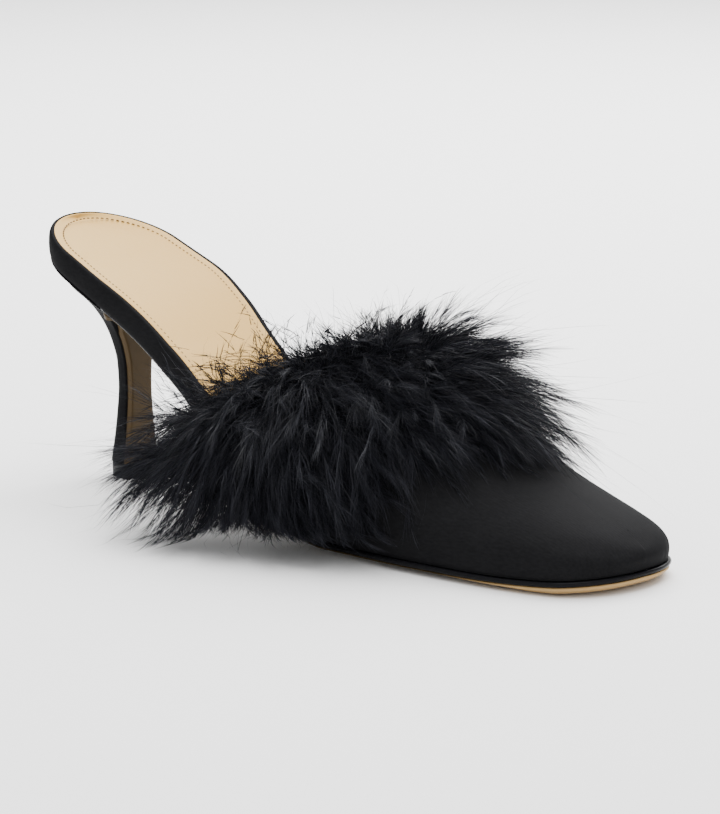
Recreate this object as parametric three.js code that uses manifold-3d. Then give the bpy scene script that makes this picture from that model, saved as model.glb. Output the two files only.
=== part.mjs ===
// A woman's high-heeled mule for the right foot: black satin vamp with a square-rounded toe, a deep marabou
// feather trim round the throat, a satin-wrapped insole board with a tan leather sock, and a slim heel whose
// breast is covered by a flap of the tan leather outsole. Millimetres, +X to the toe, +Y to the inner (medial)
// side, +Z up. The origin is the centre of the heel tip's face on the floor.
import * as THREE from "three";
import Module from "manifold-3d";

const wasm = await Module();
wasm.setup();

// Driving dimensions
const shoeLength = 248; // back of the seat to the tip of the sole, measured level
const seatOverhang = 24.2; // back of the seat behind the heel tip's centre
const ballWidth = 72; // rand's width at the ball
const seatRise = 72; // underside of the sole's line at the back of the seat, above the floor
const toeSpring = 2; // lift of the sole's tip
const meeting = 0.3; // clearance between neighbouring pieces

const outsoleThick = 1.8;
const outsoleInset = 0.7; // outsole's edge inside the rand's
const toeBevel = 1.6; // outsole's face inside its own edge, at the toe
const sideBevel = 9; // and along the sides and the waist, where the edge is skived thin
const waistInset = 2.4; // rand's edge inside the board's under the arch
const randThick = 1.5;
const seatBoardThick = 6.6; // wrapped board at the seat and waist
const foreBoardThick = 2.2; // board inside the vamp
const sockThick = 1.3;
const sockMargin = 1.4; // satin rim left bare round the sock
const seatDish = 1.2; // hollow of the sock across the heel seat

const upperWall = 1.8; // satin, interlining and lining together
const upperInset = 1.3; // vamp's foot inside the edge of the rand
const lateralWing = 81; // rear end of the vamp's outer side, along X
const medialWing = 86; // rear end of its inner side
const throatX = 125; // top of the throat, along X
const throatHeight = 47; // top of the throat above the floor
const toeTopHeight = 11.5; // crown of the vamp over the tip of the toe, above the floor
const toeTopSetback = 8; // where the ridge ends and the toe wall rounds down, behind the tip
const sideBulge = 2.4; // swell of the vamp's sides past the feather line
const narrowingLead = 9; // board and sock start to narrow this far behind the outer wing
const narrowingEnd = 3; // and are narrowed this far behind it

const topPieceHeight = 4.8;
const tipWidth = 14.6; // heel tip across
const tipDepth = 12.2; // heel tip from breast to back
const heelInset = 0.5; // heel's edges inside the board's
const breastFillet = 9; // radius where the outsole's flap turns into the waist
const flapMargin = 0.45; // heel's satin left bare beside the flap
const flapBevel = 0.4; // flap's face inside its own edges

const trimReach = 42; // dense feathers forwards over the vamp from the topline
const trimBack = 12; // dense feathers behind the topline
const trimLoft = 17; // dense feathers off the vamp
const lockLength = 34; // longest locks, from the middle of the dense feathers
const lockRadius = 9; // a lock where it leaves them
const trimFloorGap = 2.5; // feathers stay this far above the floor

// Sole plan: distance from the seat's back as a share of the length, edges as shares of the ball width.
const PLAN = [
  { along: 0.0, lateral: 0.345, medial: 0.295 },
  { along: 0.1, lateral: 0.372, medial: 0.308 },
  { along: 0.17, lateral: 0.402, medial: 0.308 },
  { along: 0.25, lateral: 0.418, medial: 0.257 },
  { along: 0.33, lateral: 0.438, medial: 0.182 },
  { along: 0.4, lateral: 0.458, medial: 0.155 },
  { along: 0.46, lateral: 0.476, medial: 0.215 },
  { along: 0.54, lateral: 0.492, medial: 0.36 },
  { along: 0.62, lateral: 0.502, medial: 0.457 },
  { along: 0.7, lateral: 0.502, medial: 0.498 },
  { along: 0.78, lateral: 0.487, medial: 0.482 },
  { along: 0.85, lateral: 0.464, medial: 0.435 },
  { along: 0.91, lateral: 0.428, medial: 0.37 },
  { along: 0.945, lateral: 0.392, medial: 0.325 },
  { along: 1.0, lateral: 0.31, medial: 0.245 },
];
const seatCap = 0.1; // share of the length taken by the round of the seat
const toeCap = 0.062; // share of the length taken by the round of the toe
const seatRound = 2.05; // exponent of the seat's round
const toeRound = 2.5; // exponent of the toe's round: above 2 is squarer
const tipRound = 2.3; // exponent of the heel tip's round back

// Side profile: rise of the sole's underside as a share of the seat's rise.
const PROFILE = [
  { along: 0.0, rise: 1.0 },
  { along: 0.1, rise: 0.878 },
  { along: 0.2, rise: 0.745 },
  { along: 0.3, rise: 0.552 },
  { along: 0.4, rise: 0.3 },
  { along: 0.48, rise: 0.115 },
  { along: 0.54, rise: 0.028 },
  { along: 0.59, rise: 0 },
];
const springStart = 0.82; // share of the length where the toe spring starts
const boardThinned = 0.58; // share where the board has thinned to its forepart
const [dishEdge, dishEnd] = [0.3, 0.5]; // shares where the seat's hollow starts to fade and where it is gone
const [waistEdge, waistEnd] = [0.4, 0.56]; // shares between which the sole widens from the waist to the ball
const [skiveEnd, skiveStart] = [0.78, 0.95]; // shares between which its skived edge thickens to the toe's

// Heel sections: height as a share, and how much each has of the tip's section and of the seat's.
const HEEL = [
  { up: 0.0, tip: 1.0, seat: 0.0 },
  { up: 0.1, tip: 0.89, seat: 0.0 },
  { up: 0.24, tip: 0.77, seat: 0.0 },
  { up: 0.4, tip: 0.69, seat: 0.0 },
  { up: 0.52, tip: 0.69, seat: 0.01 },
  { up: 0.63, tip: 0.68, seat: 0.06 },
  { up: 0.72, tip: 0.62, seat: 0.15 },
  { up: 0.8, tip: 0.5, seat: 0.31 },
  { up: 0.87, tip: 0.34, seat: 0.53 },
  { up: 0.94, tip: 0.15, seat: 0.8 },
  { up: 1.0, tip: 0.0, seat: 1.0 },
];

// Vamp ridge from throat to toe tip: height as a share of the drop, place across as one of the ball width.
const RIDGE = [
  { along: 0.0, height: 1.0, medial: 0.06 },
  { along: 0.136, height: 0.84, medial: 0.055 },
  { along: 0.318, height: 0.642, medial: 0.045 },
  { along: 0.545, height: 0.425, medial: 0.03 },
  { along: 0.772, height: 0.262, medial: 0.01 },
  { along: 0.91, height: 0.14, medial: 0.0 },
  { along: 1.0, height: 0.0, medial: 0.0 },
];
// Vamp sides from wing to toe tip: how full the section is, and how much of the bulge it has.
const SIDES = [
  { along: 0.0, fullness: 2.2, bulge: 0.9 },
  { along: 0.3, fullness: 2.2, bulge: 1.0 },
  { along: 0.6, fullness: 2.3, bulge: 0.8 },
  { along: 0.8, fullness: 2.8, bulge: 0.7 },
  { along: 1.0, fullness: 3.2, bulge: 1.3 },
];

// Section of the dense feathers: forward reach and loft off the vamp, as shares. Behind the topline, reach is a
// share of the trim's back.
const TUFT = [
  { reach: 1.0, loft: -0.15 },
  { reach: 1.04, loft: 0.12 },
  { reach: 0.84, loft: 0.52 },
  { reach: 0.52, loft: 0.86 },
  { reach: 0.18, loft: 1.0 },
  { reach: -0.35, loft: 0.9 },
  { reach: -0.95, loft: 0.5 },
  { reach: -1.0, loft: 0.12 },
  { reach: -0.3, loft: -0.15 },
  { reach: 0.5, loft: -0.2 },
];
// The dense feathers along the topline: 0 at the outer wing's foot, 0.5 at the throat, 1 at the inner wing's
// foot. Back is the share of their length that locks aimed backwards keep, and hang is how much more all droop.
const ARCH = [
  { along: 0.0, reach: 1.15, loft: 1.2, back: 1.1, hang: 1.5 },
  { along: 0.1, reach: 1.3, loft: 1.05, back: 1.0, hang: 2.6 },
  { along: 0.25, reach: 1.35, loft: 0.76, back: 0.45, hang: 2.2 },
  { along: 0.5, reach: 0.95, loft: 0.74, back: 0.6, hang: 1.0 },
  { along: 0.75, reach: 1.3, loft: 0.78, back: 0.45, hang: 2.2 },
  { along: 0.9, reach: 1.25, loft: 1.0, back: 1.0, hang: 2.6 },
  { along: 1.0, reach: 1.1, loft: 1.15, back: 1.1, hang: 1.5 },
];
const backAims = [60, 120]; // degrees of aim over which a lock takes on that shorter length
// Locks: root as shares of reach and loft, and aim as degrees from forwards, over outwards, to backwards.
const LOCKS = [
  { root: 0.62, loft: 0.1, aim: 4, reach: 0.95, droop: 0.14, offset: 0.0 },
  { root: 0.5, loft: 0.45, aim: 24, reach: 0.9, droop: 0.2, offset: 0.5 },
  { root: 0.15, loft: 0.45, aim: 58, reach: 0.88, droop: 0.26, offset: 0.25 },
  { root: -0.05, loft: 0.3, aim: 104, reach: 0.74, droop: 0.24, offset: 0.75 },
  { root: -0.2, loft: 0.25, aim: 150, reach: 0.85, droop: 0.22, offset: 0.1 },
];
// A lock from its root to its point: way along it, and its radius as a share of the root's.
const TAPER = [
  { along: 0.0, radius: 1.0 },
  { along: 0.6, radius: 0.78 },
  { along: 1.0, radius: 0.1 },
];

const SOLE_STEPS = 46; // stations from seat to toe
const VAMP_COLUMNS = 20; // columns on each side of the vamp
const VAMP_STEPS = 8; // steps up each column
const HEEL_STEPS = 18; // sections up the heel
const HEEL_SIDES = 8; // steps round each half of a heel section
const FILLET_STEPS = 6;
const FLAP_STEPS = 9;
const TRIM_STEPS = 24; // sections along the feather trim
const LOCK_ROWS = 12; // locks of each kind along the trim
const LAST_OFFSET = 0.25; // a row's last lock stands this much of a step past the inner wing's foot at most
const LOCK_SIDES = 5;

const { lerp, clamp, smoothstep } = THREE.MathUtils;
const quarterTurn = Math.PI / 2;
const xToe = shoeLength - seatOverhang;
const xAt = (share) => share * shoeLength - seatOverhang;
const shareOf = (x) => (x + seatOverhang) / shoeLength;

// A smooth curve through a table's rows that never overshoots them.
function curveOf(rows, key, column) {
  const xs = rows.map((row) => row[key]);
  const ys = rows.map((row) => row[column]);
  const rates = xs.slice(1).map((x, i) => (ys[i + 1] - ys[i]) / (x - xs[i]));
  const slopes = xs.map((_, i) => {
    if (i === 0) return rates[0];
    if (i === xs.length - 1) return rates[i - 1];
    const [before, after] = [rates[i - 1], rates[i]];
    return before * after <= 0 ? 0 : (2 * before * after) / (before + after);
  });
  return (x) => {
    const held = clamp(x, xs[0], xs[xs.length - 1]);
    const i = Math.max(0, xs.findIndex((edge) => edge >= held) - 1);
    const step = xs[i + 1] - xs[i];
    const t = (held - xs[i]) / step;
    const [a, b] = [1 - t, t];
    return (
      ys[i] * a * a * (1 + 2 * t) +
      ys[i + 1] * b * b * (3 - 2 * t) +
      step * (slopes[i] * t * a * a - slopes[i + 1] * a * b * b)
    );
  };
}

// A closed manifold solid from points and triangles, turned so that its faces look out.
function solidOf(vertices, triangles) {
  const volume = triangles.reduce((sum, [a, b, c]) => {
    return sum + vertices[a].dot(new THREE.Vector3().crossVectors(vertices[b], vertices[c])) / 6;
  }, 0);
  const facing = volume > 0 ? triangles : triangles.map(([a, b, c]) => [a, c, b]);
  return new wasm.Manifold(
    new wasm.Mesh({
      numProp: 3,
      vertProperties: new Float32Array(vertices.flatMap((v) => [v.x, v.y, v.z])),
      triVerts: new Uint32Array(facing.flat()),
    }),
  );
}

// Strips across a ring, so that its cap stays evenly cut; the ring starts at one end and runs round.
function capOf(start, count, turned) {
  const triangles = [];
  let [low, high] = [start, start + count - 1];
  while (high - low > 1) {
    triangles.push([low, low + 1, high]);
    low++;
    if (high - low > 1) {
      triangles.push([low, high - 1, high]);
      high--;
    }
  }
  return turned ? triangles.map(([a, b, c]) => [a, c, b]) : triangles;
}

// Closed solid through rings of points, each ring closed and with the same count.
function skin(rings) {
  const count = rings[0].length;
  const last = (rings.length - 1) * count;
  const triangles = [...capOf(0, count, true), ...capOf(last, count, false)];
  for (let start = 0; start < last; start += count) {
    for (let i = 0; i < count; i++) {
      const [a, b] = [start + i, start + ((i + 1) % count)];
      triangles.push([a, b, b + count], [a, b + count, a + count]);
    }
  }
  return solidOf(rings.flat(), triangles);
}

// Sole plan
const SIDE_NAMES = ["lateral", "medial"];
const edgeSign = { lateral: -1, medial: 1 };
const edgeShare = {
  lateral: curveOf(PLAN, "along", "lateral"),
  medial: curveOf(PLAN, "along", "medial"),
};
function edgeAt(side, share, narrowing) {
  const centre = (edgeShare.medial(share) - edgeShare.lateral(share)) / 2;
  const edge = edgeSign[side] * edgeShare[side](share);
  return new THREE.Vector2(xAt(share), lerp(centre, edge, narrowing) * ballWidth);
}
// Outline of one side: 0 at the back of the seat, 1 at the tip of the toe.
const roundShare = 0.17; // share of the way taken by each round end
function outlineAt(side, way) {
  if (way < roundShare) {
    const angle = (way / roundShare) * quarterTurn;
    const narrowing = Math.sin(angle) ** (2 / seatRound);
    return edgeAt(side, seatCap * (1 - Math.cos(angle) ** (2 / seatRound)), narrowing);
  }
  if (way > 1 - roundShare) {
    const angle = ((1 - way) / roundShare) * quarterTurn;
    const narrowing = Math.sin(angle) ** (2 / toeRound);
    return edgeAt(side, 1 - toeCap * (1 - Math.cos(angle) ** (2 / toeRound)), narrowing);
  }
  const between = (way - roundShare) / (1 - 2 * roundShare);
  return edgeAt(side, lerp(seatCap, 1 - toeCap, between), 1);
}
function wayOf(x) {
  const between = (shareOf(x) - seatCap) / (1 - toeCap - seatCap);
  return lerp(roundShare, 1 - roundShare, between);
}
// Point of the outline moved inwards, square to it.
function insetAt(side, way, inset) {
  const step = 0.004;
  const ahead = outlineAt(side, Math.min(1, way + step)).sub(outlineAt(side, Math.max(0, way - step)));
  const inward = new THREE.Vector2(ahead.y, -ahead.x).multiplyScalar(edgeSign[side]).normalize();
  return outlineAt(side, way).addScaledVector(inward, inset);
}
const raised = (flat, z) => new THREE.Vector3(flat.x, flat.y, z);

// Side profile: the sole's underside, and heights measured square to it.
const riseShare = curveOf(PROFILE, "along", "rise");
function rise(x) {
  const spring = Math.max(0, (shareOf(x) - springStart) / (1 - springStart));
  return seatRise * riseShare(shareOf(x)) + toeSpring * spring ** 2;
}
function slopeAt(x) {
  const step = 1;
  const middle = clamp(x, step - seatOverhang, xToe - step);
  return (rise(middle + step) - rise(middle - step)) / (2 * step);
}
const heightOn = (x, above) => rise(x) + above * Math.hypot(1, slopeAt(x));
const boardThick = (x) => lerp(seatBoardThick, foreBoardThick, smoothstep(x, lateralWing, xAt(boardThinned)));
const randLow = outsoleThick + meeting;
const randTop = randLow + randThick;
const boardLow = randTop + meeting;
const boardTop = (x) => boardLow + boardThick(x);
const sockLow = (x) => boardTop(x) + meeting;
const sockTop = (x) => sockLow(x) + sockThick;

const soleTip = 0.01; // way of the first and last station from the ends
const STATIONS = Array.from({ length: SOLE_STEPS + 1 }, (_, i) => {
  const way = lerp(soleTip, 1 - soleTip, i / SOLE_STEPS);
  return { way, x: outlineAt("lateral", way).x };
});

// Ring of a plate across one station: inset edges, eased corners, and faces that can be dished.
const DISH_STEPS = [0.2, 0.4, 0.6, 0.8];
function dished(from, to, dish) {
  return DISH_STEPS.map((share) => {
    const point = from.clone().lerp(to, share);
    point.z -= dish * (1 - (2 * share - 1) ** 2);
    return point;
  });
}
function plateRing(way, { inset, low, high, easing, dish = 0, underDish = 0 }) {
  const at = (side, depth, above, lift) => {
    const flat = insetAt(side, way, depth);
    return raised(flat, heightOn(flat.x, above) + lift);
  };
  const under = SIDE_NAMES.map((side) => at(side, inset + easing, low, 0));
  const over = SIDE_NAMES.map((side) => at(side, inset + easing, high, 0));
  return [
    under[0],
    ...dished(under[0], under[1], underDish),
    under[1],
    at("medial", inset, low, easing),
    at("medial", inset, high, -easing),
    over[1],
    ...dished(over[1], over[0], dish),
    over[0],
    at("lateral", inset, high, -easing),
    at("lateral", inset, low, easing),
  ];
}
const dishAt = (x) => seatDish * (1 - smoothstep(x, xAt(dishEdge), xAt(dishEnd)));
// Inner pieces narrow from the full plan to the vamp's inside just behind the wings.
const narrowFrom = lateralWing - narrowingLead;
const narrowTo = lateralWing - narrowingEnd;
const towardsVamp = (x, rear, fore) => lerp(rear, fore, smoothstep(x, narrowFrom, narrowTo));
const boardFit = upperInset + upperWall + meeting;
// The sole narrows under the arch and widens to the rand's full plan at the ball.
const towardsBall = (x, waist, ball) => lerp(waist, ball, smoothstep(x, xAt(waistEdge), xAt(waistEnd)));

function insoleBoard() {
  const [wrappedEasing, foreEasing] = [1.5, 0.5];
  const rings = STATIONS.map(({ way, x }) =>
    plateRing(way, {
      inset: towardsVamp(x, 0, boardFit),
      low: boardLow,
      high: boardTop(x),
      easing: towardsVamp(x, wrappedEasing, foreEasing),
      dish: dishAt(x),
    }),
  );
  return skin(rings);
}

function insoleSock() {
  const [foreMargin, easing] = [0.6, 0.35];
  const rings = STATIONS.map(({ way, x }) =>
    plateRing(way, {
      inset: towardsVamp(x, sockMargin, boardFit + foreMargin),
      low: sockLow(x),
      high: sockTop(x),
      easing,
      dish: dishAt(x),
      underDish: dishAt(x),
    }),
  );
  return skin(rings);
}

// Heel breast: the flap's outer face, and the round that turns it into the waist.
const breastFace = tipDepth / 2 - meeting;
const heelFront = breastFace - outsoleThick - meeting;
const noseX = breastFace + breastFillet; // the block's foremost point, over the fillet
const waistTilt = -Math.atan(slopeAt(noseX));
const waistStart = noseX + breastFillet * Math.sin(waistTilt);
const filletHeight = rise(waistStart) - breastFillet * Math.cos(waistTilt);

// Heel block between the top piece and the board
const heelTip = curveOf(HEEL, "up", "tip");
const heelSeat = curveOf(HEEL, "up", "seat");
const heelFloor = topPieceHeight + meeting;
const heelRoof = (x) => heightOn(x, boardLow - meeting);
const heelHeight = (x, up) => lerp(heelFloor, heelRoof(x), up);

// Front of the block at a height share: the breast plane, then round the fillet to the nose.
function heelFrontAt(up) {
  const reach = breastFillet + outsoleThick + meeting;
  const halvings = 24;
  let [low, high] = [heelFront, noseX];
  for (let i = 0; i < halvings; i++) {
    const x = (low + high) / 2;
    const arc = filletHeight + Math.sqrt(Math.max(0, reach ** 2 - (noseX - x) ** 2));
    if (heelHeight(x, up) > arc) low = x;
    else high = x;
  }
  return low;
}
// The two sections that the heel blends, as depth behind the front and place across; step 0 is at the front.
function seatSection(side, step) {
  const flat = insetAt(side, wayOf(noseX) * (1 - step / HEEL_SIDES), heelInset);
  return { depth: noseX - flat.x, across: flat.y };
}
function tipSection(side, step, depth, width) {
  const angle = (1 - step / HEEL_SIDES) * quarterTurn;
  return {
    depth: depth * Math.cos(angle) ** (2 / tipRound),
    across: (edgeSign[side] * width * Math.sin(angle) ** (2 / tipRound)) / 2,
  };
}
function heelSection(side, step, up) {
  const tip = tipSection(side, step, heelFront + tipDepth / 2, tipWidth);
  const seat = seatSection(side, step);
  return {
    depth: heelTip(up) * tip.depth + heelSeat(up) * seat.depth,
    across: heelTip(up) * tip.across + heelSeat(up) * seat.across,
  };
}
// Ring from the front's outer corner round the back to its inner corner.
function roundTheBack(place) {
  const ring = [];
  for (let step = 0; step <= HEEL_SIDES; step++) ring.push(place("lateral", step));
  for (let step = HEEL_SIDES - 1; step >= 0; step--) ring.push(place("medial", step));
  return ring;
}
function heel() {
  const rings = [];
  for (let i = 0; i <= HEEL_STEPS; i++) {
    const up = i / HEEL_STEPS;
    const front = heelFrontAt(up);
    rings.push(
      roundTheBack((side, step) => {
        const { depth, across } = heelSection(side, step, up);
        return new THREE.Vector3(front - depth, across, heelHeight(front - depth, up));
      }),
    );
  }
  return skin(rings);
}

function topPiece() {
  const easing = 0.5;
  const ringAt = (shrink, z) =>
    roundTheBack((side, step) => {
      const { depth, across } = tipSection(side, step, tipDepth - 2 * shrink, tipWidth - 2 * shrink);
      return new THREE.Vector3(tipDepth / 2 - shrink - depth, across, z);
    });
  return skin([ringAt(easing, 0), ringAt(0, easing), ringAt(0, topPieceHeight)]);
}

// Outsole: the sole proper, then round the fillet and down the breast as a flap.
const edgeRise = 0.6; // share of the outsole's thickness taken by its bevel
const skivedRise = 0.93; // the same where the edge is skived
const towardsToe = (x, side, toe) => lerp(side, toe, smoothstep(x, xAt(skiveEnd), xAt(skiveStart)));
function soleRing({ way, x }) {
  const inset = towardsBall(x, waistInset + outsoleInset, outsoleInset);
  const at = (side, depth, share) => {
    const flat = insetAt(side, way, depth);
    return raised(flat, heightOn(flat.x, share * outsoleThick));
  };
  const bevel = inset + towardsToe(x, sideBevel, toeBevel);
  const bevelRise = towardsToe(x, skivedRise, edgeRise);
  return [
    at("lateral", bevel, 0),
    at("medial", bevel, 0),
    at("medial", inset, bevelRise),
    at("medial", inset, 1),
    at("lateral", inset, 1),
    at("lateral", inset, bevelRise),
  ];
}
// Ring of the flap from its outer face, in the XZ plane, and its two edges across.
function flapRing(face, inward, [lateral, medial]) {
  const at = (depth, y) => {
    const point = face.clone().addScaledVector(inward, depth * outsoleThick);
    return new THREE.Vector3(point.x, y, point.y);
  };
  return [
    at(0, lateral + flapBevel),
    at(0, medial - flapBevel),
    at(edgeRise, medial),
    at(1, medial),
    at(1, lateral),
    at(edgeRise, lateral),
  ];
}
function flapEdges(z) {
  const up = clamp((z - heelFloor) / (heelRoof(heelFront) - heelFloor), 0, 1);
  return SIDE_NAMES.map((side) => heelSection(side, 0, up).across - edgeSign[side] * flapMargin);
}
function outsole() {
  const rings = STATIONS.filter(({ x }) => x > waistStart + outsoleThick).map(soleRing);
  rings.reverse();
  const waistEdges = SIDE_NAMES.map((side) => insetAt(side, wayOf(waistStart), waistInset + outsoleInset).y);
  for (let i = 0; i <= FILLET_STEPS; i++) {
    const turn = lerp(quarterTurn - waistTilt, Math.PI, i / FILLET_STEPS);
    const outward = new THREE.Vector2(Math.cos(turn), Math.sin(turn));
    const face = new THREE.Vector2(noseX, filletHeight).addScaledVector(outward, breastFillet);
    const narrowing = smoothstep(i, 0, FILLET_STEPS);
    const edges = flapEdges(filletHeight).map((edge, k) => lerp(waistEdges[k], edge, narrowing));
    rings.push(flapRing(face, outward, edges));
  }
  for (let i = 1; i <= FLAP_STEPS; i++) {
    const z = lerp(filletHeight, heelFloor, i / FLAP_STEPS);
    rings.push(flapRing(new THREE.Vector2(breastFace, z), new THREE.Vector2(-1, 0), flapEdges(z)));
  }
  return skin(rings);
}

function rand() {
  const easing = 0.4;
  const rings = STATIONS.filter(({ x }) => x > noseX + meeting).map(({ way, x }) =>
    plateRing(way, { inset: towardsBall(x, waistInset, 0), low: randLow, high: randTop, easing }),
  );
  return skin(rings);
}

// Vamp
const ridgeHeight = curveOf(RIDGE, "along", "height");
const ridgeAcross = curveOf(RIDGE, "along", "medial");
const sideFullness = curveOf(SIDES, "along", "fullness");
const sideSwell = curveOf(SIDES, "along", "bulge");
const wingX = { lateral: lateralWing, medial: medialWing };
const toeCrowding = 1.25; // above 1, columns are closer round the toe

// Ridge of the vamp: 0 at the throat, 1 at the toe; sink is the depth inside the outer face.
const ridgeEnd = xToe - toeTopSetback;
const pastThroat = (x) => (x - throatX) / (xToe - throatX);
const crownAt = (x) => lerp(toeTopHeight, throatHeight, ridgeHeight(pastThroat(x)));
function ridgeAt(along, sink) {
  const x = lerp(throatX, ridgeEnd - sink, along);
  return new THREE.Vector3(x, ridgeAcross(pastThroat(x)) * ballWidth, crownAt(x) - sink);
}
// Point of the vamp: along from wing to toe tip, up from foot to ridge.
function vampPoint(side, along, up, sink) {
  const way = lerp(wayOf(wingX[side]), 1, along);
  const flat = insetAt(side, way, upperInset + sink);
  const ridge = ridgeAt(along, sink);
  const angle = up * quarterTurn;
  const power = 2 / sideFullness(along);
  const swell = sideBulge * sideSwell(along) * Math.sin(2 * angle) * Math.cos(angle);
  const out = insetAt(side, way, -swell).sub(outlineAt(side, way));
  const inward = 1 - Math.cos(angle) ** power;
  const x = lerp(flat.x, ridge.x, inward);
  return new THREE.Vector3(
    x + out.x,
    lerp(flat.y, ridge.y, inward) + out.y,
    lerp(heightOn(flat.x, randTop + meeting), crownAt(x) - sink, Math.sin(angle) ** power),
  );
}
// Grid of points at one depth: columns run from the outer wing round the toe to the inner wing.
const columnCount = 2 * VAMP_COLUMNS;
function vampColumns(sink) {
  return Array.from({ length: columnCount + 1 }, (_, i) => {
    const side = i <= VAMP_COLUMNS ? "lateral" : "medial";
    const step = Math.min(i, columnCount - i) / VAMP_COLUMNS;
    const along = 1 - (1 - step) ** toeCrowding;
    return Array.from({ length: VAMP_STEPS + 1 }, (_, j) => {
      return j < VAMP_STEPS ? vampPoint(side, along, j / VAMP_STEPS, sink) : ridgeAt(along, sink);
    });
  });
}
// Vertex numbers of such a grid, with each pair of columns meeting in one vertex on the ridge.
function meshColumns(columns, vertices) {
  const ids = [];
  columns.forEach((column, i) => {
    const twin = columnCount - i;
    ids.push(
      column.map((point, j) => {
        if (j === VAMP_STEPS && i > VAMP_COLUMNS) return ids[twin][j];
        vertices.push(point);
        return vertices.length - 1;
      }),
    );
  });
  return ids;
}
function quads(triangles, low, high, turned) {
  for (let j = 0; j + 1 < low.length; j++) {
    const [a, b, c, d] = [low[j], high[j], high[j + 1], low[j + 1]];
    if (turned) triangles.push([a, c, b], [a, d, c]);
    else triangles.push([a, b, c], [a, c, d]);
  }
}
function upper() {
  const vertices = [];
  const triangles = [];
  const [outer, inner] = [0, upperWall].map((sink) => meshColumns(vampColumns(sink), vertices));
  for (let i = 0; i < columnCount; i++) {
    quads(triangles, outer[i], outer[i + 1], false);
    quads(triangles, inner[i], inner[i + 1], true);
  }
  const foot = (ids) => ids.map((column) => column[0]);
  quads(triangles, foot(outer), foot(inner), false);
  quads(triangles, outer[0], inner[0], true);
  quads(triangles, outer[columnCount], inner[columnCount], false);
  return solidOf(vertices, triangles);
}
// The vamp swollen by the clearance and filled, with its throat and underside closed.
function vampFilled() {
  const vertices = [];
  const triangles = [];
  const ids = meshColumns(vampColumns(-meeting), vertices);
  for (let i = 0; i < columnCount; i++) {
    quads(triangles, ids[i], ids[i + 1], false);
  }
  quads(triangles, ids[0], ids[columnCount], true);
  const feet = ids.map((column) => column[0]);
  for (let i = 0; i < VAMP_COLUMNS; i++) {
    const [a, b] = [feet[i], feet[i + 1]];
    const [c, d] = [feet[columnCount - i - 1], feet[columnCount - i]];
    if (b === c) triangles.push([a, d, b]);
    else triangles.push([a, d, c], [a, c, b]);
  }
  return solidOf(vertices, triangles);
}

// The sole's layers swollen by the clearance, as one slab
function layersFilled() {
  const rings = STATIONS.map(({ way, x }) =>
    plateRing(way, { inset: -meeting, low: -meeting, high: sockTop(x) + meeting, easing: meeting }),
  );
  return skin(rings);
}

// Feather trim: dense feathers along the topline with locks fused on
const archReach = curveOf(ARCH, "along", "reach");
const archLoft = curveOf(ARCH, "along", "loft");
const archBack = curveOf(ARCH, "along", "back");
const archHang = curveOf(ARCH, "along", "hang");
// Frame on the vamp's skin, at a way along the topline and a distance forwards over the vamp.
function toplineAt(way, along) {
  const side = way < 0.5 ? "lateral" : "medial";
  return vampPoint(side, along, 1 - Math.abs(2 * way - 1), 0);
}
function trimFrame(way, distance) {
  const step = 0.02;
  const start = toplineAt(way, 0);
  const pace = step / toplineAt(way, step).distanceTo(start);
  const along = Math.max(0, distance * pace);
  const point = toplineAt(way, along);
  const forwards = toplineAt(way, along + step).sub(point).normalize();
  const across = toplineAt(Math.min(1, way + step), along).sub(toplineAt(Math.max(0, way - step), along));
  const outwards = forwards.clone().cross(across).normalize();
  if (outwards.dot(new THREE.Vector3(0, point.y, point.z)) < 0) outwards.negate();
  point.addScaledVector(forwards, Math.min(0, distance));
  return { point, forwards, outwards, across: across.normalize() };
}
function trimPoint(way, reach, loft) {
  const distance = reach > 0 ? reach * trimReach * archReach(way) : reach * trimBack;
  const frame = trimFrame(way, distance);
  frame.point.addScaledVector(frame.outwards, loft * trimLoft * archLoft(way));
  frame.point.z = Math.max(frame.point.z, trimFloorGap);
  return frame;
}
// Even scatter between -1 and 1 from a lock's own number.
const [numberStride, kindStride] = [0.618, 0.37];
const scatter = (number, kind) => 2 * ((number * numberStride + kind * kindStride) % 1) - 1;
const [aimScatter, spreadScatter, lengthScatter] = [8, 0.2, 0.15]; // degrees, then shares

function lock({ root, loft, aim, reach, droop }, way, number) {
  const { point, forwards, outwards, across } = trimPoint(way, root, loft);
  const turn = THREE.MathUtils.degToRad(aim + aimScatter * scatter(number, 1));
  const heading = forwards.clone().multiplyScalar(Math.cos(turn)).addScaledVector(outwards, Math.sin(turn));
  heading.addScaledVector(across, spreadScatter * scatter(number, 2)).normalize();
  const kept = lerp(1, archBack(way), smoothstep(aim, ...backAims));
  const length = lockLength * reach * kept * (1 + lengthScatter * scatter(number, 3));
  const thick = lockRadius * Math.sqrt(kept);
  const sag = droop * archHang(way);
  const rings = TAPER.map((row) => {
    const middle = point.clone().addScaledVector(heading, row.along * length);
    middle.z -= sag * length * row.along ** 2;
    const axis = heading.clone();
    axis.z -= 2 * sag * row.along;
    const side = axis.clone().cross(across).normalize();
    const other = side.clone().cross(axis).normalize();
    return Array.from({ length: LOCK_SIDES }, (_, i) => {
      const spin = (i / LOCK_SIDES) * 2 * Math.PI;
      const corner = middle.clone().addScaledVector(side, Math.cos(spin) * row.radius * thick);
      corner.addScaledVector(other, Math.sin(spin) * row.radius * thick);
      corner.z = Math.max(corner.z, trimFloorGap);
      return corner;
    });
  });
  return skin(rings);
}
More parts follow.
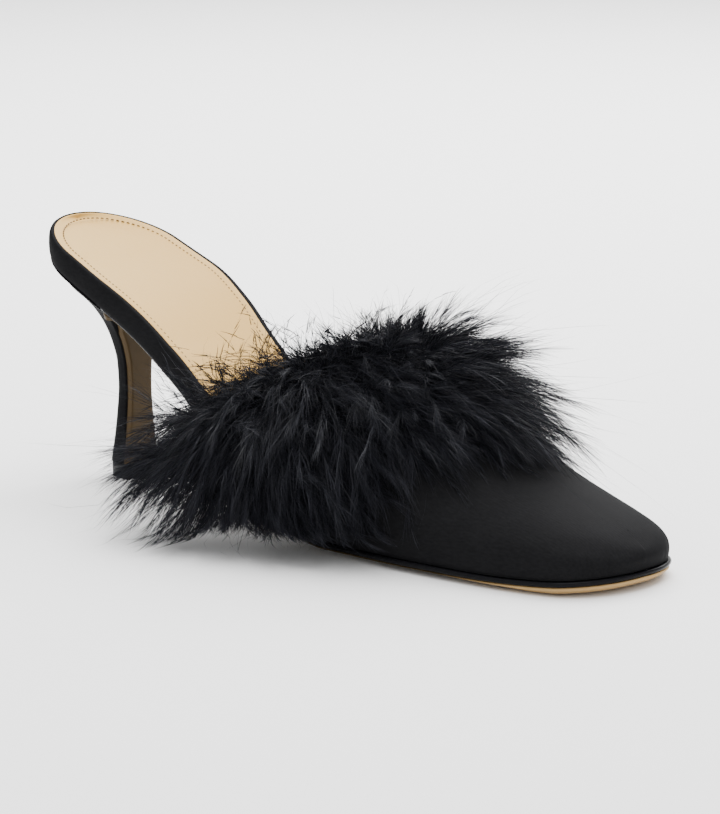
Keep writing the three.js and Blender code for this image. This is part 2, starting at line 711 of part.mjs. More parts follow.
function marabouTrim() {
  const rings = Array.from({ length: TRIM_STEPS + 1 }, (_, i) => {
    return TUFT.map(({ reach, loft }) => trimPoint(i / TRIM_STEPS, reach, loft).point);
  });
  let trim = skin(rings);
  LOCKS.forEach((kind, k) => {
    for (let i = 0; i < LOCK_ROWS; i++) {
      const way = (i + kind.offset) / (LOCK_ROWS - LAST_OFFSET);
      trim = trim.add(lock(kind, way, i * LOCKS.length + k));
    }
  });
  // The largest shell alone: pockets shut in between the locks are filled, and loose crumbs are dropped.
  const shells = trim.subtract(vampFilled()).subtract(layersFilled()).decompose();
  return shells.reduce((largest, shell) => (shell.volume() > largest.volume() ? shell : largest));
}

function geometryOf(solid) {
  const mesh = solid.getMesh();
  const geometry = new THREE.BufferGeometry();
  geometry.setAttribute("position", new THREE.BufferAttribute(mesh.vertProperties, 3));
  geometry.setIndex(new THREE.BufferAttribute(mesh.triVerts, 1));
  geometry.computeVertexNormals();
  return geometry;
}

const finish = (color, roughness) => new THREE.MeshStandardMaterial({ color, roughness, metalness: 0 });
const shoe = new THREE.Group();
function add(name, solid, material) {
  const mesh = new THREE.Mesh(geometryOf(solid), material);
  mesh.name = name;
  shoe.add(mesh);
}
add("outsole", outsole(), finish(0xc9a476, 0.5));
add("rand", rand(), finish(0x101012, 0.35));
add("insole_board", insoleBoard(), finish(0x17171a, 0.45));
add("insole_sock", insoleSock(), finish(0xdcc19a, 0.6));
add("heel", heel(), finish(0x17171a, 0.45));
add("top_piece", topPiece(), finish(0x0c0c0d, 0.6));
add("upper", upper(), finish(0x222226, 0.5));
add("marabou_trim", marabouTrim(), finish(0x15161b, 0.9));

export default shoe;
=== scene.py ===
# A high-heeled mule with a feather trim, dressed round its fixed frame.
import math

import bmesh
import bpy
import numpy as np
from bpy.props import FloatProperty, FloatVectorProperty, IntProperty, PointerProperty
from mathutils import Matrix, Vector


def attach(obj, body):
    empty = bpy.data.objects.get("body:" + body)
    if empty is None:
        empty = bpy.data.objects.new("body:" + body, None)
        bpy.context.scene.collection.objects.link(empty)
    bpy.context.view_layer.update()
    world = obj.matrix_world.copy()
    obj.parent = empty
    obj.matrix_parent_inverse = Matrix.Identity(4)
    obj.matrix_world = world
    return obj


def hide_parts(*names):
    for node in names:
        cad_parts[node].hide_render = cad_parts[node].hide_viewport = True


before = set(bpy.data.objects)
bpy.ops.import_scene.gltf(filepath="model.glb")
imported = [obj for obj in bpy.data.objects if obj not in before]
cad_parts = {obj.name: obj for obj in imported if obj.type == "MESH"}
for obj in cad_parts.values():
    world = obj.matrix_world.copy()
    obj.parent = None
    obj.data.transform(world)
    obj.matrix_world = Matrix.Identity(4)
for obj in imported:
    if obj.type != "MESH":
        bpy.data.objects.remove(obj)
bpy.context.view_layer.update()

bl_info = {
    "name": "Feather-trimmed mule",
    "version": (1, 0, 0),
    "blender": (4, 5, 0),
    "location": "3D View > Sidebar > Mule",
    "description": "Dresses a high-heeled mule: satin, leather, stitches and feathers, with a studio stage",
    "category": "Object",
}

# Sizes of the shoe, in millimetres, as its frame has them
MM = 0.001
GAP = 0.3
LENGTH, OVERHANG, BALL = 248.0, 24.2, 72.0
SEAT_RISE, SPRING = 72.0, 2.0
OUTSOLE, OUTSOLE_INSET, WAIST_INSET = 1.8, 0.7, 2.4
TOE_BEVEL, SIDE_BEVEL, EDGE_RISE, SKIVED_RISE = 1.6, 9.0, 0.6, 0.93
RAND = 1.5
SEAT_BOARD, FORE_BOARD = 6.6, 2.2
SOCK, SOCK_MARGIN, DISH = 1.3, 1.4, 1.2
WALL, UPPER_INSET = 1.8, 1.3
WING = {-1: 81.0, 1: 86.0}
THROAT_X, THROAT_Z = 125.0, 47.0
TOE_Z, TOE_SETBACK, BULGE = 11.5, 8.0, 2.4
TOP_PIECE, TIP_WIDTH, TIP_DEPTH = 4.8, 14.6, 12.2
HEEL_INSET, FILLET, FLAP_MARGIN, FLAP_BEVEL = 0.5, 9.0, 0.45, 0.4
TRIM_REACH, TRIM_BACK, TRIM_LOFT = 42.0, 12.0, 17.0

# Fine sizes that only the dressed shoe has, in millimetres
SOCK_SINK, SOCK_OVER, SOCK_EDGE, SOCK_DISH = 0.35, 0.25, 0.9, 0.1
SEAT_MARGIN, WAIST_MARGIN, WAIST_MARGIN_AT, VAMP_MARGIN = 1.2, 2.1, 45, 0.6
SOCK_TOP = GAP + SOCK - SOCK_SINK
RIM = SOCK_TOP + 0.12
WRAP_EDGE, VAMP_WRAP_EDGE = 1.5, 0.8
LIP_INSET, LIP_EDGE, SOLE_SETBACK = 0.35, 0.75, 0.3
TAPE_AT, TAPE_HALF_WIDTH, TAPE_THICK = 1.6, 3.0, 0.45
CREASE, FURROW, SLACK = 0.07, 0.06, 0.12
STITCH_INSET, STITCH_END, STITCH_GIRTH, STITCH_DIVE = 3.4, 88.0, 0.24, 0.15
# From one stitch to the next, in stitch lengths
STITCH_PITCH = 1.55

# Where along its length the shoe passes from one form to the next, as shares of it
SPRING_FROM, SPRING_SPAN = 0.82, 0.18
BOARD_THIN_AT, WAIST_TO_BALL, SIDE_TO_TOE, DISH_END = 0.58, (0.4, 0.56), (0.78, 0.95), (0.3, 0.5)
# The same in millimetres behind the outer wing's end, where the board's edge draws in under the vamp
BOARD_DRAWS_IN = (9, 3)

# Either side of the plan in shares of the ball's width, the sole's line in shares of the seat's rise
PLAN = {
    "along": (0, 0.1, 0.17, 0.25, 0.33, 0.4, 0.46, 0.54, 0.62, 0.7, 0.78, 0.85, 0.91, 0.945, 1),
    "outer": (
        0.345, 0.372, 0.402, 0.418, 0.438, 0.458, 0.476, 0.492, 0.502, 0.502, 0.487, 0.464, 0.428, 0.392, 0.31
    ),
    "inner": (
        0.295, 0.308, 0.308, 0.257, 0.182, 0.155, 0.215, 0.36, 0.457, 0.498, 0.482, 0.435, 0.37, 0.325, 0.245
    ),
}
PROFILE = {
    "along": (0, 0.1, 0.2, 0.3, 0.4, 0.48, 0.54, 0.59),
    "rise": (1, 0.878, 0.745, 0.552, 0.3, 0.115, 0.028, 0),
}
# How much of the tip's section and of the seat's outline the heel has at each share of its height
HEEL = {
    "up": (0, 0.1, 0.24, 0.4, 0.52, 0.63, 0.72, 0.8, 0.87, 0.94, 1),
    "tip": (1, 0.89, 0.77, 0.69, 0.69, 0.68, 0.62, 0.5, 0.34, 0.15, 0),
    "seat": (0, 0, 0, 0, 0.01, 0.06, 0.15, 0.31, 0.53, 0.8, 1),
}
# The wear piece's rings: how far inside its plan, and at what height
TIP_RINGS = ((0.9, 0), (0.5, 0), (0.2, 0.1), (0.05, 0.3), (0, 0.6), (0, 4.2), (0.1, 4.6), (0.4, TOP_PIECE))
# The vamp from throat to toe: its ridge's height and lean, and how full its sides are
RIDGE = {
    "along": (0, 0.136, 0.318, 0.545, 0.772, 0.91, 1),
    "height": (1, 0.84, 0.642, 0.425, 0.262, 0.14, 0),
    "inner": (0.06, 0.055, 0.045, 0.03, 0.01, 0, 0),
}
SIDES = {"along": (0, 0.3, 0.6, 0.8, 1), "full": (2.2, 2.2, 2.3, 2.8, 3.2), "bulge": (0.9, 1, 0.8, 0.7, 1.3)}
# The feather roll's section, and its size along the topline from the outer wing to the inner one
TRIM = {
    "reach": (1.0, 1.04, 0.84, 0.52, 0.18, -0.35, -0.95, -1.0, -0.3, 0.5),
    "loft": (-0.15, 0.12, 0.52, 0.86, 1.0, 0.9, 0.5, 0.12, -0.15, -0.2),
}
TRIM_WAY = {
    "along": (0, 0.1, 0.25, 0.5, 0.75, 0.9, 1),
    "reach": (1.15, 1.3, 1.35, 0.95, 1.3, 1.25, 1.1),
    "loft": (1.2, 1.05, 0.76, 0.74, 0.78, 1, 1.15),
    "back": (1.1, 1, 0.45, 0.6, 0.45, 1, 1.1),
    "hang": (1.5, 2.6, 2.2, 1, 2.2, 2.6, 1.5),
}
# Feathers by their aim, in degrees from forwards, over outwards, to backwards
PLUMES = {
    "aim": (0, 24, 58, 104, 150),
    "root": (0.62, 0.5, 0.15, -0.05, -0.2),
    "loft": (0.08, 0.36, 0.42, 0.35, 0.3),
    "length": (0.92, 0.9, 0.85, 0.72, 0.8),
    "droop": (0.14, 0.2, 0.26, 0.24, 0.22),
}
# Each layer's lowest and highest aim and its share of the feathers
LAYERS = {
    "fringe": (0, 15, 0.16), "front": (8, 28, 0.15), "brow": (14, 60, 0.24), "crown": (45, 110, 0.19),
    "rear": (95, 158, 0.23),
}
STRAYS, STRAY_BARBS, STRAY_AIM, STRAY_ENDS = 420, 15, (106, 160), (0.02, 0.36)
WISPS, WISP_AIM = 2600, (0, 165)
# Half widths of quills, barbs and wisps, in millimetres
QUILL, STRAY_QUILL, BARB, STRAY_BARB, WISP = 0.18, 0.13, 0.075, 0.115, 0.075
# Room for the feathers: the axis, where they start to give way, and how much further they may go
ROOM = ((1, -68, -14), (1, 56, 14), (0, 24, -26), (2, 64, 14))
# The same above the floor, and how much higher and where it starts over the forefoot
FLOOR_ROOM, SOLE_ROOM, SOLE_FROM = (9, -8.0), 8.0, (84, 104)
# How much of the plan its round ends take, and how full they are
SEAT_CAP, TOE_CAP, SEAT_ROUND, TOE_ROUND, TIP_ROUND, ROUND = 0.1, 0.062, 2.05, 2.5, 2.3, 0.17
HALF_PI = math.pi / 2
UP = np.array([0.0, 0, 1])


def lerp(a, b, t):
    return a + (b - a) * t


def smooth(x, low, high):
    t = np.clip((x - low) / (high - low), 0, 1)
    return t * t * (3 - 2 * t)


def unit(v):
    return v / np.maximum(np.linalg.norm(v, axis=-1, keepdims=True), 1e-9)


def curve_of(table, column):
    """A smooth curve through a table's column over its first one, which never overshoots its values."""
    xs, ys = np.array(next(iter(table.values())), float), np.array(table[column], float)
    rates = np.diff(ys) / np.diff(xs)
    slopes = np.concatenate([rates[:1], np.zeros(len(xs) - 2), rates[-1:]])
    for i in range(1, len(xs) - 1):
        if rates[i - 1] * rates[i] > 0:
            slopes[i] = 2 * rates[i - 1] * rates[i] / (rates[i - 1] + rates[i])

    def value(x):
        held = np.clip(x, xs[0], xs[-1])
        i = np.clip(np.searchsorted(xs, held, side="left") - 1, 0, len(xs) - 2)
        step = xs[i + 1] - xs[i]
        t = (held - xs[i]) / step
        a, b = 1 - t, t
        return (
            ys[i] * a * a * (1 + 2 * t)
            + ys[i + 1] * b * b * (3 - 2 * t)
            + step * (slopes[i] * t * a * a - slopes[i + 1] * a * b * b)
        )

    return value


rise_share = curve_of(PROFILE, "rise")
outer_edge, inner_edge = [curve_of(PLAN, side) for side in ("outer", "inner")]
heel_tip, heel_seat = [curve_of(HEEL, end) for end in ("tip", "seat")]
ridge_height, ridge_across = [curve_of(RIDGE, way) for way in ("height", "inner")]
side_full, side_bulge = [curve_of(SIDES, form) for form in ("full", "bulge")]
trim_reach, trim_loft, trim_back, trim_hang = [
    curve_of(TRIM_WAY, form) for form in ("reach", "loft", "back", "hang")
]
X_TOE = LENGTH - OVERHANG


def x_at(share):
    return share * LENGTH - OVERHANG


def share_of(x):
    return (x + OVERHANG) / LENGTH


def bent(value, fullness):
    """A cosine or sine for a superellipse: with fullness 2 it is an ellipse, and more is squarer."""
    return np.sign(value) * np.abs(value) ** (2 / fullness)


def outline(side, way):
    """Plan of one side, -1 outer or 1 inner: way 0 at the back of the seat, 1 at the tip of the toe."""
    way = np.asarray(way, float)
    seat_turn = np.clip(way / ROUND, 0, 1) * HALF_PI
    toe_turn = np.clip((1 - way) / ROUND, 0, 1) * HALF_PI
    between = (way - ROUND) / (1 - 2 * ROUND)
    share = lerp(SEAT_CAP, 1 - TOE_CAP, between)
    share = np.where(way < ROUND, SEAT_CAP * (1 - bent(np.cos(seat_turn), SEAT_ROUND)), share)
    share = np.where(way > 1 - ROUND, 1 - TOE_CAP * (1 - bent(np.cos(toe_turn), TOE_ROUND)), share)
    narrowing = bent(np.sin(seat_turn), SEAT_ROUND) * bent(np.sin(toe_turn), TOE_ROUND)
    centre = (inner_edge(share) - outer_edge(share)) / 2
    edge = np.where(np.asarray(side) < 0, -outer_edge(share), inner_edge(share))
    return np.stack([x_at(share), (centre + (edge - centre) * narrowing) * BALL], -1)


def way_of(x):
    return lerp(ROUND, 1 - ROUND, (share_of(x) - SEAT_CAP) / (1 - TOE_CAP - SEAT_CAP))


def inset(side, way, depth):
    """Point of the plan moved inwards, square to its edge."""
    way, side, step = np.asarray(way, float), np.asarray(side, float), 0.004
    ahead = outline(side, np.minimum(1, way + step)) - outline(side, np.maximum(0, way - step))
    inward = unit(np.stack([ahead[..., 1] * side, -ahead[..., 0] * side], -1))
    return outline(side, way) + inward * np.asarray(depth)[..., None]


def rise(x):
    """Height of the sole's underside: the seat and waist in front of the heel, and the toe's spring."""
    lift = np.maximum(0, (share_of(x) - SPRING_FROM) / SPRING_SPAN)
    return SEAT_RISE * rise_share(share_of(x)) + SPRING * lift**2


def slope_at(x):
    middle = np.clip(x, 1 - OVERHANG, X_TOE - 1)
    return (rise(middle + 1) - rise(middle - 1)) / 2


def height_on(x, above):
    return rise(x) + above * np.hypot(1, slope_at(x))


RAND_LOW = OUTSOLE + GAP
RAND_TOP = RAND_LOW + RAND
BOARD_LOW = RAND_TOP + GAP
BOARD_FIT = UPPER_INSET + WALL + GAP


def passing(x, shares):
    """0 before the first share of the length and 1 after the second."""
    return smooth(x, x_at(shares[0]), x_at(shares[1]))


def board_top(x):
    return BOARD_LOW + lerp(SEAT_BOARD, FORE_BOARD, smooth(x, WING[-1], x_at(BOARD_THIN_AT)))


def towards_vamp(x, rear, fore):
    return lerp(rear, fore, smooth(x, WING[-1] - BOARD_DRAWS_IN[0], WING[-1] - BOARD_DRAWS_IN[1]))


def towards_ball(x, waist, ball):
    return lerp(waist, ball, passing(x, WAIST_TO_BALL))


def towards_toe(x, side, toe):
    return lerp(side, toe, passing(x, SIDE_TO_TOE))


def dish_at(x):
    return DISH * (1 - passing(x, DISH_END))


# The heel's breast and the round that turns the sole into it
BREAST = TIP_DEPTH / 2 - GAP
HEEL_FRONT = BREAST - OUTSOLE - GAP
NOSE = BREAST + FILLET
WAIST_TILT = -math.atan(float(slope_at(NOSE)))
WAIST_START = NOSE + FILLET * math.sin(WAIST_TILT)
FILLET_Z = float(rise(WAIST_START)) - FILLET * math.cos(WAIST_TILT)
HEEL_FLOOR = TOP_PIECE + GAP


def heel_height(x, up):
    return lerp(HEEL_FLOOR, height_on(x, BOARD_LOW - GAP), up)


def heel_front(up):
    """Front of the heel at each height share: the breast's plane, then round the fillet, found by halving."""
    halvings = 30
    low, high = np.full(np.shape(up), HEEL_FRONT), np.full(np.shape(up), NOSE)
    for _ in range(halvings):
        x = (low + high) / 2
        arc = FILLET_Z + np.sqrt(np.maximum(0, (FILLET + OUTSOLE + GAP) ** 2 - (NOSE - x) ** 2))
        above = heel_height(x, up) > arc
        low, high = np.where(above, x, low), np.where(above, high, x)
    return low


def tip_section(side, step, depth, width):
    """Depth behind the front and place across, with step 0 at the front corner and 1 at the back."""
    turn = (1 - step) * HALF_PI
    return depth * bent(np.cos(turn), TIP_ROUND), side * width * bent(np.sin(turn), TIP_ROUND) / 2


def heel_section(side, step, up):
    """The same for the heel at a share of its height, between the tip's outline and the seat's."""
    tip_depth, tip_across = tip_section(side, step, HEEL_FRONT + TIP_DEPTH / 2, TIP_WIDTH)
    flat = inset(side, way_of(NOSE) * (1 - step), HEEL_INSET)
    depth = heel_tip(up) * tip_depth + heel_seat(up) * (NOSE - flat[..., 0])
    return depth, heel_tip(up) * tip_across + heel_seat(up) * flat[..., 1]


# The vamp
RIDGE_END = X_TOE - TOE_SETBACK


def past_throat(x):
    return (x - THROAT_X) / (X_TOE - THROAT_X)


def crown_at(x):
    return lerp(TOE_Z, THROAT_Z, ridge_height(past_throat(x)))


def vamp_point(side, along, up, sink):
    """Point of the vamp: along from wing to toe, up from foot to ridge, sink inside the outer face."""
    side, along, up = np.broadcast_arrays(np.asarray(side, float), along, up)
    wing = np.where(side < 0, way_of(WING[-1]), way_of(WING[1]))
    way = lerp(wing, 1, along)
    flat = inset(side, way, np.full(way.shape, UPPER_INSET + sink))
    ridge_x = lerp(THROAT_X, RIDGE_END - sink, along)
    ridge_y = ridge_across(past_throat(ridge_x)) * BALL
    turn = up * HALF_PI
    full = side_full(along)
    swell = BULGE * side_bulge(along) * np.sin(2 * turn) * np.cos(turn)
    out = inset(side, way, -swell) - outline(side, way)
    inward = 1 - bent(np.cos(turn), full)
    x = lerp(flat[..., 0], ridge_x, inward)
    foot = height_on(flat[..., 0], RAND_TOP + GAP)
    z = lerp(foot, crown_at(x) - sink, bent(np.sin(turn), full))
    return np.stack([x + out[..., 0], lerp(flat[..., 1], ridge_y, inward) + out[..., 1], z], -1)


# The feather trim's own frame on the vamp
def topline(way, along):
    way = np.asarray(way, float)
    return vamp_point(np.where(way < 0.5, -1, 1), along, 1 - np.abs(2 * way - 1), 0)


def trim_frame(way, distance):
    step = 0.02
    way, distance = np.broadcast_arrays(np.asarray(way, float), distance)
    start = topline(way, 0.0)
    pace = step / np.linalg.norm(topline(way, step) - start, axis=-1)
    along = np.maximum(0, distance * pace)
    point = topline(way, along)
    forwards = unit(topline(way, along + step) - point)
    across = unit(topline(np.minimum(1, way + step), along) - topline(np.maximum(0, way - step), along))
    outwards = unit(np.cross(forwards, across))
    flip = outwards[..., 1] * point[..., 1] + outwards[..., 2] * point[..., 2] < 0
    outwards = np.where(flip[..., None], -outwards, outwards)
    point = point + forwards * np.minimum(0, distance)[..., None]
    return point, forwards, outwards, across


def trim_point(way, reach, loft):
    reach = np.asarray(reach, float)
    distance = np.where(reach > 0, reach * TRIM_REACH * trim_reach(way), reach * TRIM_BACK)
    point, forwards, outwards, across = trim_frame(way, distance)
    lift = np.asarray(loft) * TRIM_LOFT * trim_loft(way)
    return point + outwards * lift[..., None], forwards, outwards, across


# Meshes
def piece(name, points, faces, material, slot=None, stands_for=(), shade=None):
    """A mesh object from points in millimetres, which rides on the shoe's one body."""
    mesh = bpy.data.meshes.new(name)
    mesh.from_pydata(points * MM, [], faces)
    mesh.shade_smooth()
    mesh.validate()
    if shade is not None:
        layer = mesh.attributes.new("shade", "FLOAT", "POINT")
        layer.data.foreach_set("value", np.asarray(shade, np.float32))
    obj = bpy.data.objects.new(name, mesh)
    bpy.context.scene.collection.objects.link(obj)
    for one in material if isinstance(material, (list, tuple)) else [material]:
        mesh.materials.append(one)
    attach(obj, "root")
    if stands_for:
        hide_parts(*stands_for)
    return obj


def grid_faces(rows, columns, around=False, offset=0):
    """Quads over a grid of rows by columns; with around, each row closes on itself."""
    i, j = np.meshgrid(np.arange(rows - 1), np.arange(columns if around else columns - 1), indexing="ij")
    k = (j + 1) % columns
    quads = np.stack([i * columns + j, i * columns + k, (i + 1) * columns + k, (i + 1) * columns + j], -1)
    return quads.reshape(-1, 4) + offset


def weld(obj, distance=0.02):
    """Joins points that lie together and turns the faces outwards."""
    made = bmesh.new()
    made.from_mesh(obj.data)
    bmesh.ops.remove_doubles(made, verts=made.verts, dist=distance * MM)
    bmesh.ops.dissolve_degenerate(made, edges=made.edges, dist=1e-7)
    bmesh.ops.recalc_face_normals(made, faces=made.faces)
    made.to_mesh(obj.data)
    made.free()
    obj.data.update()


def even_ways(count, start=0.0):
    """Ways along the plan: closer together towards both round ends, or from a start towards the toe alone."""
    t = np.linspace(0, 1, count)
    if start:
        return lerp(start, 1, 1 - (1 - t) ** 1.6)
    return lerp(t, (1 - np.cos(t * math.pi)) / 2, 0.75)


def both_sides(row):
    """Each side with its steps, so that a ring runs out along one side and back along the other."""
    return (-1, row), (1, row[::-1][1:])


def slab_rings(ways, edge_inset, low, high, edge_depth, fullness, dish, under_dish, arc=9, across=13):
    """Rings across a slab with rounded edges; edge_inset, low, high, edge_depth and the dishes follow x."""
    turn = np.linspace(-HALF_PI, HALF_PI, arc)
    out, up = bent(np.cos(turn), fullness), bent(np.sin(turn), fullness)
    x = outline(-1, ways)[:, 0]
    shares = np.linspace(0, 1, across + 2)[1:-1]

    def edge(side, k):
        flat = inset(side, ways, edge_inset(x) + edge_depth(x) * (1 - out[k]))
        above = lerp(low(flat[:, 0]), high(flat[:, 0]), (1 + up[k]) / 2)
        return np.column_stack([flat, height_on(flat[:, 0], above)])

    outer = [edge(-1, k) for k in range(arc)]
    inner = [edge(1, k) for k in range(arc)]

    def between(a, b, sag):
        rows = []
        for s in shares:
            row = lerp(a, b, s)
            row[:, 2] -= sag(row[:, 0]) * (1 - (2 * s - 1) ** 2)
            rows.append(row)
        return rows

    ring = [
        *between(outer[0], inner[0], under_dish), *inner, *between(inner[-1], outer[-1], dish), *outer[::-1],
    ]
    return np.stack(ring, 1)


def fixed(value):
    return lambda x: np.full(np.shape(x), float(value))


def loft(name, rings, material, capped=False, **kwargs):
    """A skin over closed rings, with fans over its ends if they are open."""
    rows, columns = rings.shape[:2]
    faces = grid_faces(rows, columns, around=True)
    points = rings.reshape(-1, 3)
    if capped:
        count = rows * columns
        points = np.concatenate([points, np.stack([rings[0].mean(0), rings[-1].mean(0)])])
        j = np.arange(columns)
        pair = np.stack([j, (j + 1) % columns], -1)
        fans = [
            np.column_stack([pair + start, np.full(columns, middle)])
            for start, middle in ((0, count), (count - columns, count + 1))
        ]
        faces = np.concatenate([faces[:, [0, 1, 2]], faces[:, [0, 2, 3]], *fans])
    obj = piece(name, points, faces, material, **kwargs)
    weld(obj)
    return obj


# Materials
def toned(color, share, lift=0.0):
    return tuple(min(1, c * share + lift) for c in color)


def set_inputs(node, **values):
    for key, value in values.items():
        node.inputs[key.replace("_", " ")].default_value = value
    return node


def node(tree, kind, **values):
    return set_inputs(tree.nodes.new(kind), **values)


def new_material(name, color, roughness, **values):
    material = bpy.data.materials.new(name)
    material.use_nodes = True
    shader = material.node_tree.nodes["Principled BSDF"]
    set_inputs(shader, Base_Color=(*color, 1), Roughness=roughness, **values)
    return material, material.node_tree, shader


def coordinates(tree, scale=(1, 1, 1)):
    place = tree.nodes.new("ShaderNodeTexCoord")
    mapping = node(tree, "ShaderNodeMapping", Scale=scale)
    tree.links.new(place.outputs["Object"], mapping.inputs["Vector"])
    return mapping.outputs["Vector"]


def noise(tree, vector, scale, detail=3.0, rough=0.55):
    made = node(tree, "ShaderNodeTexNoise", Scale=scale, Detail=detail, Roughness=rough)
    tree.links.new(vector, made.inputs["Vector"])
    return made.outputs["Fac"]


def mix(tree, factor, a, b):
    """A colour between a and b by a texture's value; either may be another node's colour."""
    made = tree.nodes.new("ShaderNodeMix")
    made.data_type = "RGBA"
    for key, end in (("A", a), ("B", b)):
        if isinstance(end, tuple):
            made.inputs[key].default_value = (*end, 1)
        else:
            tree.links.new(end, made.inputs[key])
    tree.links.new(factor, made.inputs["Factor"])
    return made.outputs["Result"]


def ranged(tree, factor, low, high, start=0.0, end=1.0):
    """A value that goes from low to high while the factor goes from start to end."""
    made = node(tree, "ShaderNodeMapRange", From_Min=start, From_Max=end, To_Min=low, To_Max=high)
    tree.links.new(factor, made.inputs["Value"])
    return made.outputs["Result"]


def added(tree, a, b, share):
    made = tree.nodes.new("ShaderNodeMath")
    made.operation = "MULTIPLY_ADD"
    made.inputs[1].default_value = share
    tree.links.new(b, made.inputs[0])
    tree.links.new(a, made.inputs[2])
    return made.outputs["Value"]


def bump(tree, shader, height, strength, distance):
    made = node(tree, "ShaderNodeBump", Strength=strength, Distance=distance)
    tree.links.new(height, made.inputs["Height"])
    tree.links.new(made.outputs["Normal"], shader.inputs["Normal"])


def coloured(tree, shader, color):
    tree.links.new(color, shader.inputs["Base Color"])


def uneven(tree, shader, texture, roughness, less, more):
    """Lets a texture move the roughness, down by as much as less and up by as much as more."""
    tree.links.new(ranged(tree, texture, roughness - less, roughness + more), shader.inputs["Roughness"])


def satin(name, color, roughness):
    """Black satin: long floats with a fine rib across, a soft sheen and a little unevenness."""
    material, tree, shader = new_material(name, color, roughness, IOR=1.48, Specular_IOR_Level=0.012)
    where = coordinates(tree)
    rib = node(tree, "ShaderNodeTexWave", Scale=340.0, Distortion=1.5, Detail=2.0)
    rib.bands_direction = "Y"
    tree.links.new(where, rib.inputs["Vector"])
    slub = noise(tree, coordinates(tree, scale=(500, 1500, 1500)), scale=1.0, detail=2.0)
    cloud = noise(tree, where, scale=55.0, detail=4.0)
    weave = added(tree, slub, rib.outputs["Fac"], share=0.4)
    bump(tree, shader, weave, strength=0.35, distance=0.0001)
    grain = added(tree, ranged(tree, cloud, 0.0, 0.45), ranged(tree, slub, 0.0, 0.6), share=1.0)
    coloured(tree, shader, mix(tree, grain, toned(color, 0.5), toned(color, 1.9, 0.004)))
    uneven(tree, shader, slub, roughness, less=0.06, more=0.08)
    return material


def leather(name, color, dark, roughness, pore_scale, depth, painted_shade=None):
    """Leather with fine pores, a cloudy tone and an uneven gloss.

    painted_shade gives the painted shade that darkens the leather behind the toe, where the sole lies in
    shade: where along the shoe it starts to fade, where it ends, and how dark it is."""
    material, tree, shader = new_material(name, color, roughness, IOR=1.46, Specular_IOR_Level=0.12)
    where = coordinates(tree)
    pores = node(tree, "ShaderNodeTexVoronoi", Scale=pore_scale)
    tree.links.new(where, pores.inputs["Vector"])
    fine = noise(tree, where, scale=pore_scale * 0.6, detail=5.0, rough=0.6)
    cloud = noise(tree, where, scale=28.0, detail=4.0)
    bump(tree, shader, added(tree, fine, pores.outputs["Distance"], share=0.6), strength=0.3, distance=depth)
    tone = mix(tree, ranged(tree, cloud, -0.35, 1.1), color, dark)
    # Painted shade: behind the given place along the shoe the leather is darkened, standing in for the shade
    # that falls on the waist, the fillet and the heel's breast
    if painted_shade:
        start, end, share = painted_shade
        apart = tree.nodes.new("ShaderNodeSeparateXYZ")
        tree.links.new(where, apart.inputs["Vector"])
        unshaded = ranged(tree, apart.outputs["X"], 0.0, 1.0, start, end)
        tone = mix(tree, unshaded, toned(color, share), tone)
    coloured(tree, shader, tone)
    uneven(tree, shader, fine, roughness, less=0.08, more=0.1)
    return material


def grained(made, roughness, scale, strength, distance, less, more):
    """A new material with a fine grain in its bump and its gloss."""
    material, tree, shader = made
    grain = noise(tree, coordinates(tree), scale=scale)
    bump(tree, shader, grain, strength, distance)
    uneven(tree, shader, grain, roughness, less, more)
    return material


def plastic(name, color, roughness):
    made = new_material(name, color, roughness, Specular_IOR_Level=0.1)
    return grained(made, roughness, scale=900.0, strength=0.2, distance=0.00006, less=0.08, more=0.08)


def lacquer(name, color, roughness):
    gloss = {"Coat_Weight": 0.02, "Coat_Roughness": 0.12, "Specular_IOR_Level": 0.03}
    made = new_material(name, color, roughness, **gloss)
    return grained(made, roughness, scale=220.0, strength=0.12, distance=0.00008, less=0.05, more=0.06)


def thread(name, color):
    """Waxed thread, darker than the leather that it holds."""
    material, tree, shader = new_material(name, toned(color, 0.5), 0.7)
    tone = noise(tree, coordinates(tree), scale=400.0)
    coloured(tree, shader, mix(tree, tone, toned(color, 0.2), toned(color, 0.4)))
    return material


def down(name, color):
    """Dyed feather: near black, bluish where it is thin, each barb a little different."""
    material, tree, shader = new_material(name, color, 0.55, IOR=1.4, Specular_IOR_Level=0.16)
    set_inputs(shader, Sheen_Weight=0.04, Sheen_Roughness=0.5, Sheen_Tint=(0.7, 0.74, 0.85, 1))
    own = tree.nodes.new("ShaderNodeNewGeometry").outputs["Random Per Island"]
    shade = tree.nodes.new("ShaderNodeAttribute")
    shade.attribute_name = "shade"
    both = added(tree, ranged(tree, own, 0.0, 0.45), shade.outputs["Fac"], share=0.55)
    coloured(tree, shader, mix(tree, both, toned(color, 0.45), toned(color, 2.8, 0.003)))
    return material


def matted_down(name, color):
    """The down that lies flat under the feathers, rough and without a sheen."""
    material, tree, shader = new_material(name, toned(color, 0.5), 0.9, Specular_IOR_Level=0.1)
    tuft = noise(tree, coordinates(tree), scale=320.0, detail=5.0, rough=0.7)
    bump(tree, shader, tuft, strength=0.9, distance=0.0015)
    coloured(tree, shader, mix(tree, tuft, toned(color, 0.2), toned(color, 0.9)))
    return material


# What a user would change
COLOR = {"subtype": "COLOR", "size": 3, "min": 0, "max": 1}
DISTANCE = {"unit": "LENGTH", "subtype": "DISTANCE", "precision": 4}


class MuleVamp(bpy.types.PropertyGroup):
    satin_color: FloatVectorProperty(
        name="Satin colour", description="Colour of the satin", default=(0.0045, 0.0045, 0.005), **COLOR
    )
    gloss: FloatProperty(
        name="Satin roughness", description="Lower is shinier", subtype="FACTOR", default=0.62, min=0.1, max=1
    )
    wall: FloatProperty(
        name="Wall", description="Thickness of satin, interlining and lining",
        default=WALL * MM, min=0.0008, max=0.003, **DISTANCE,
    )


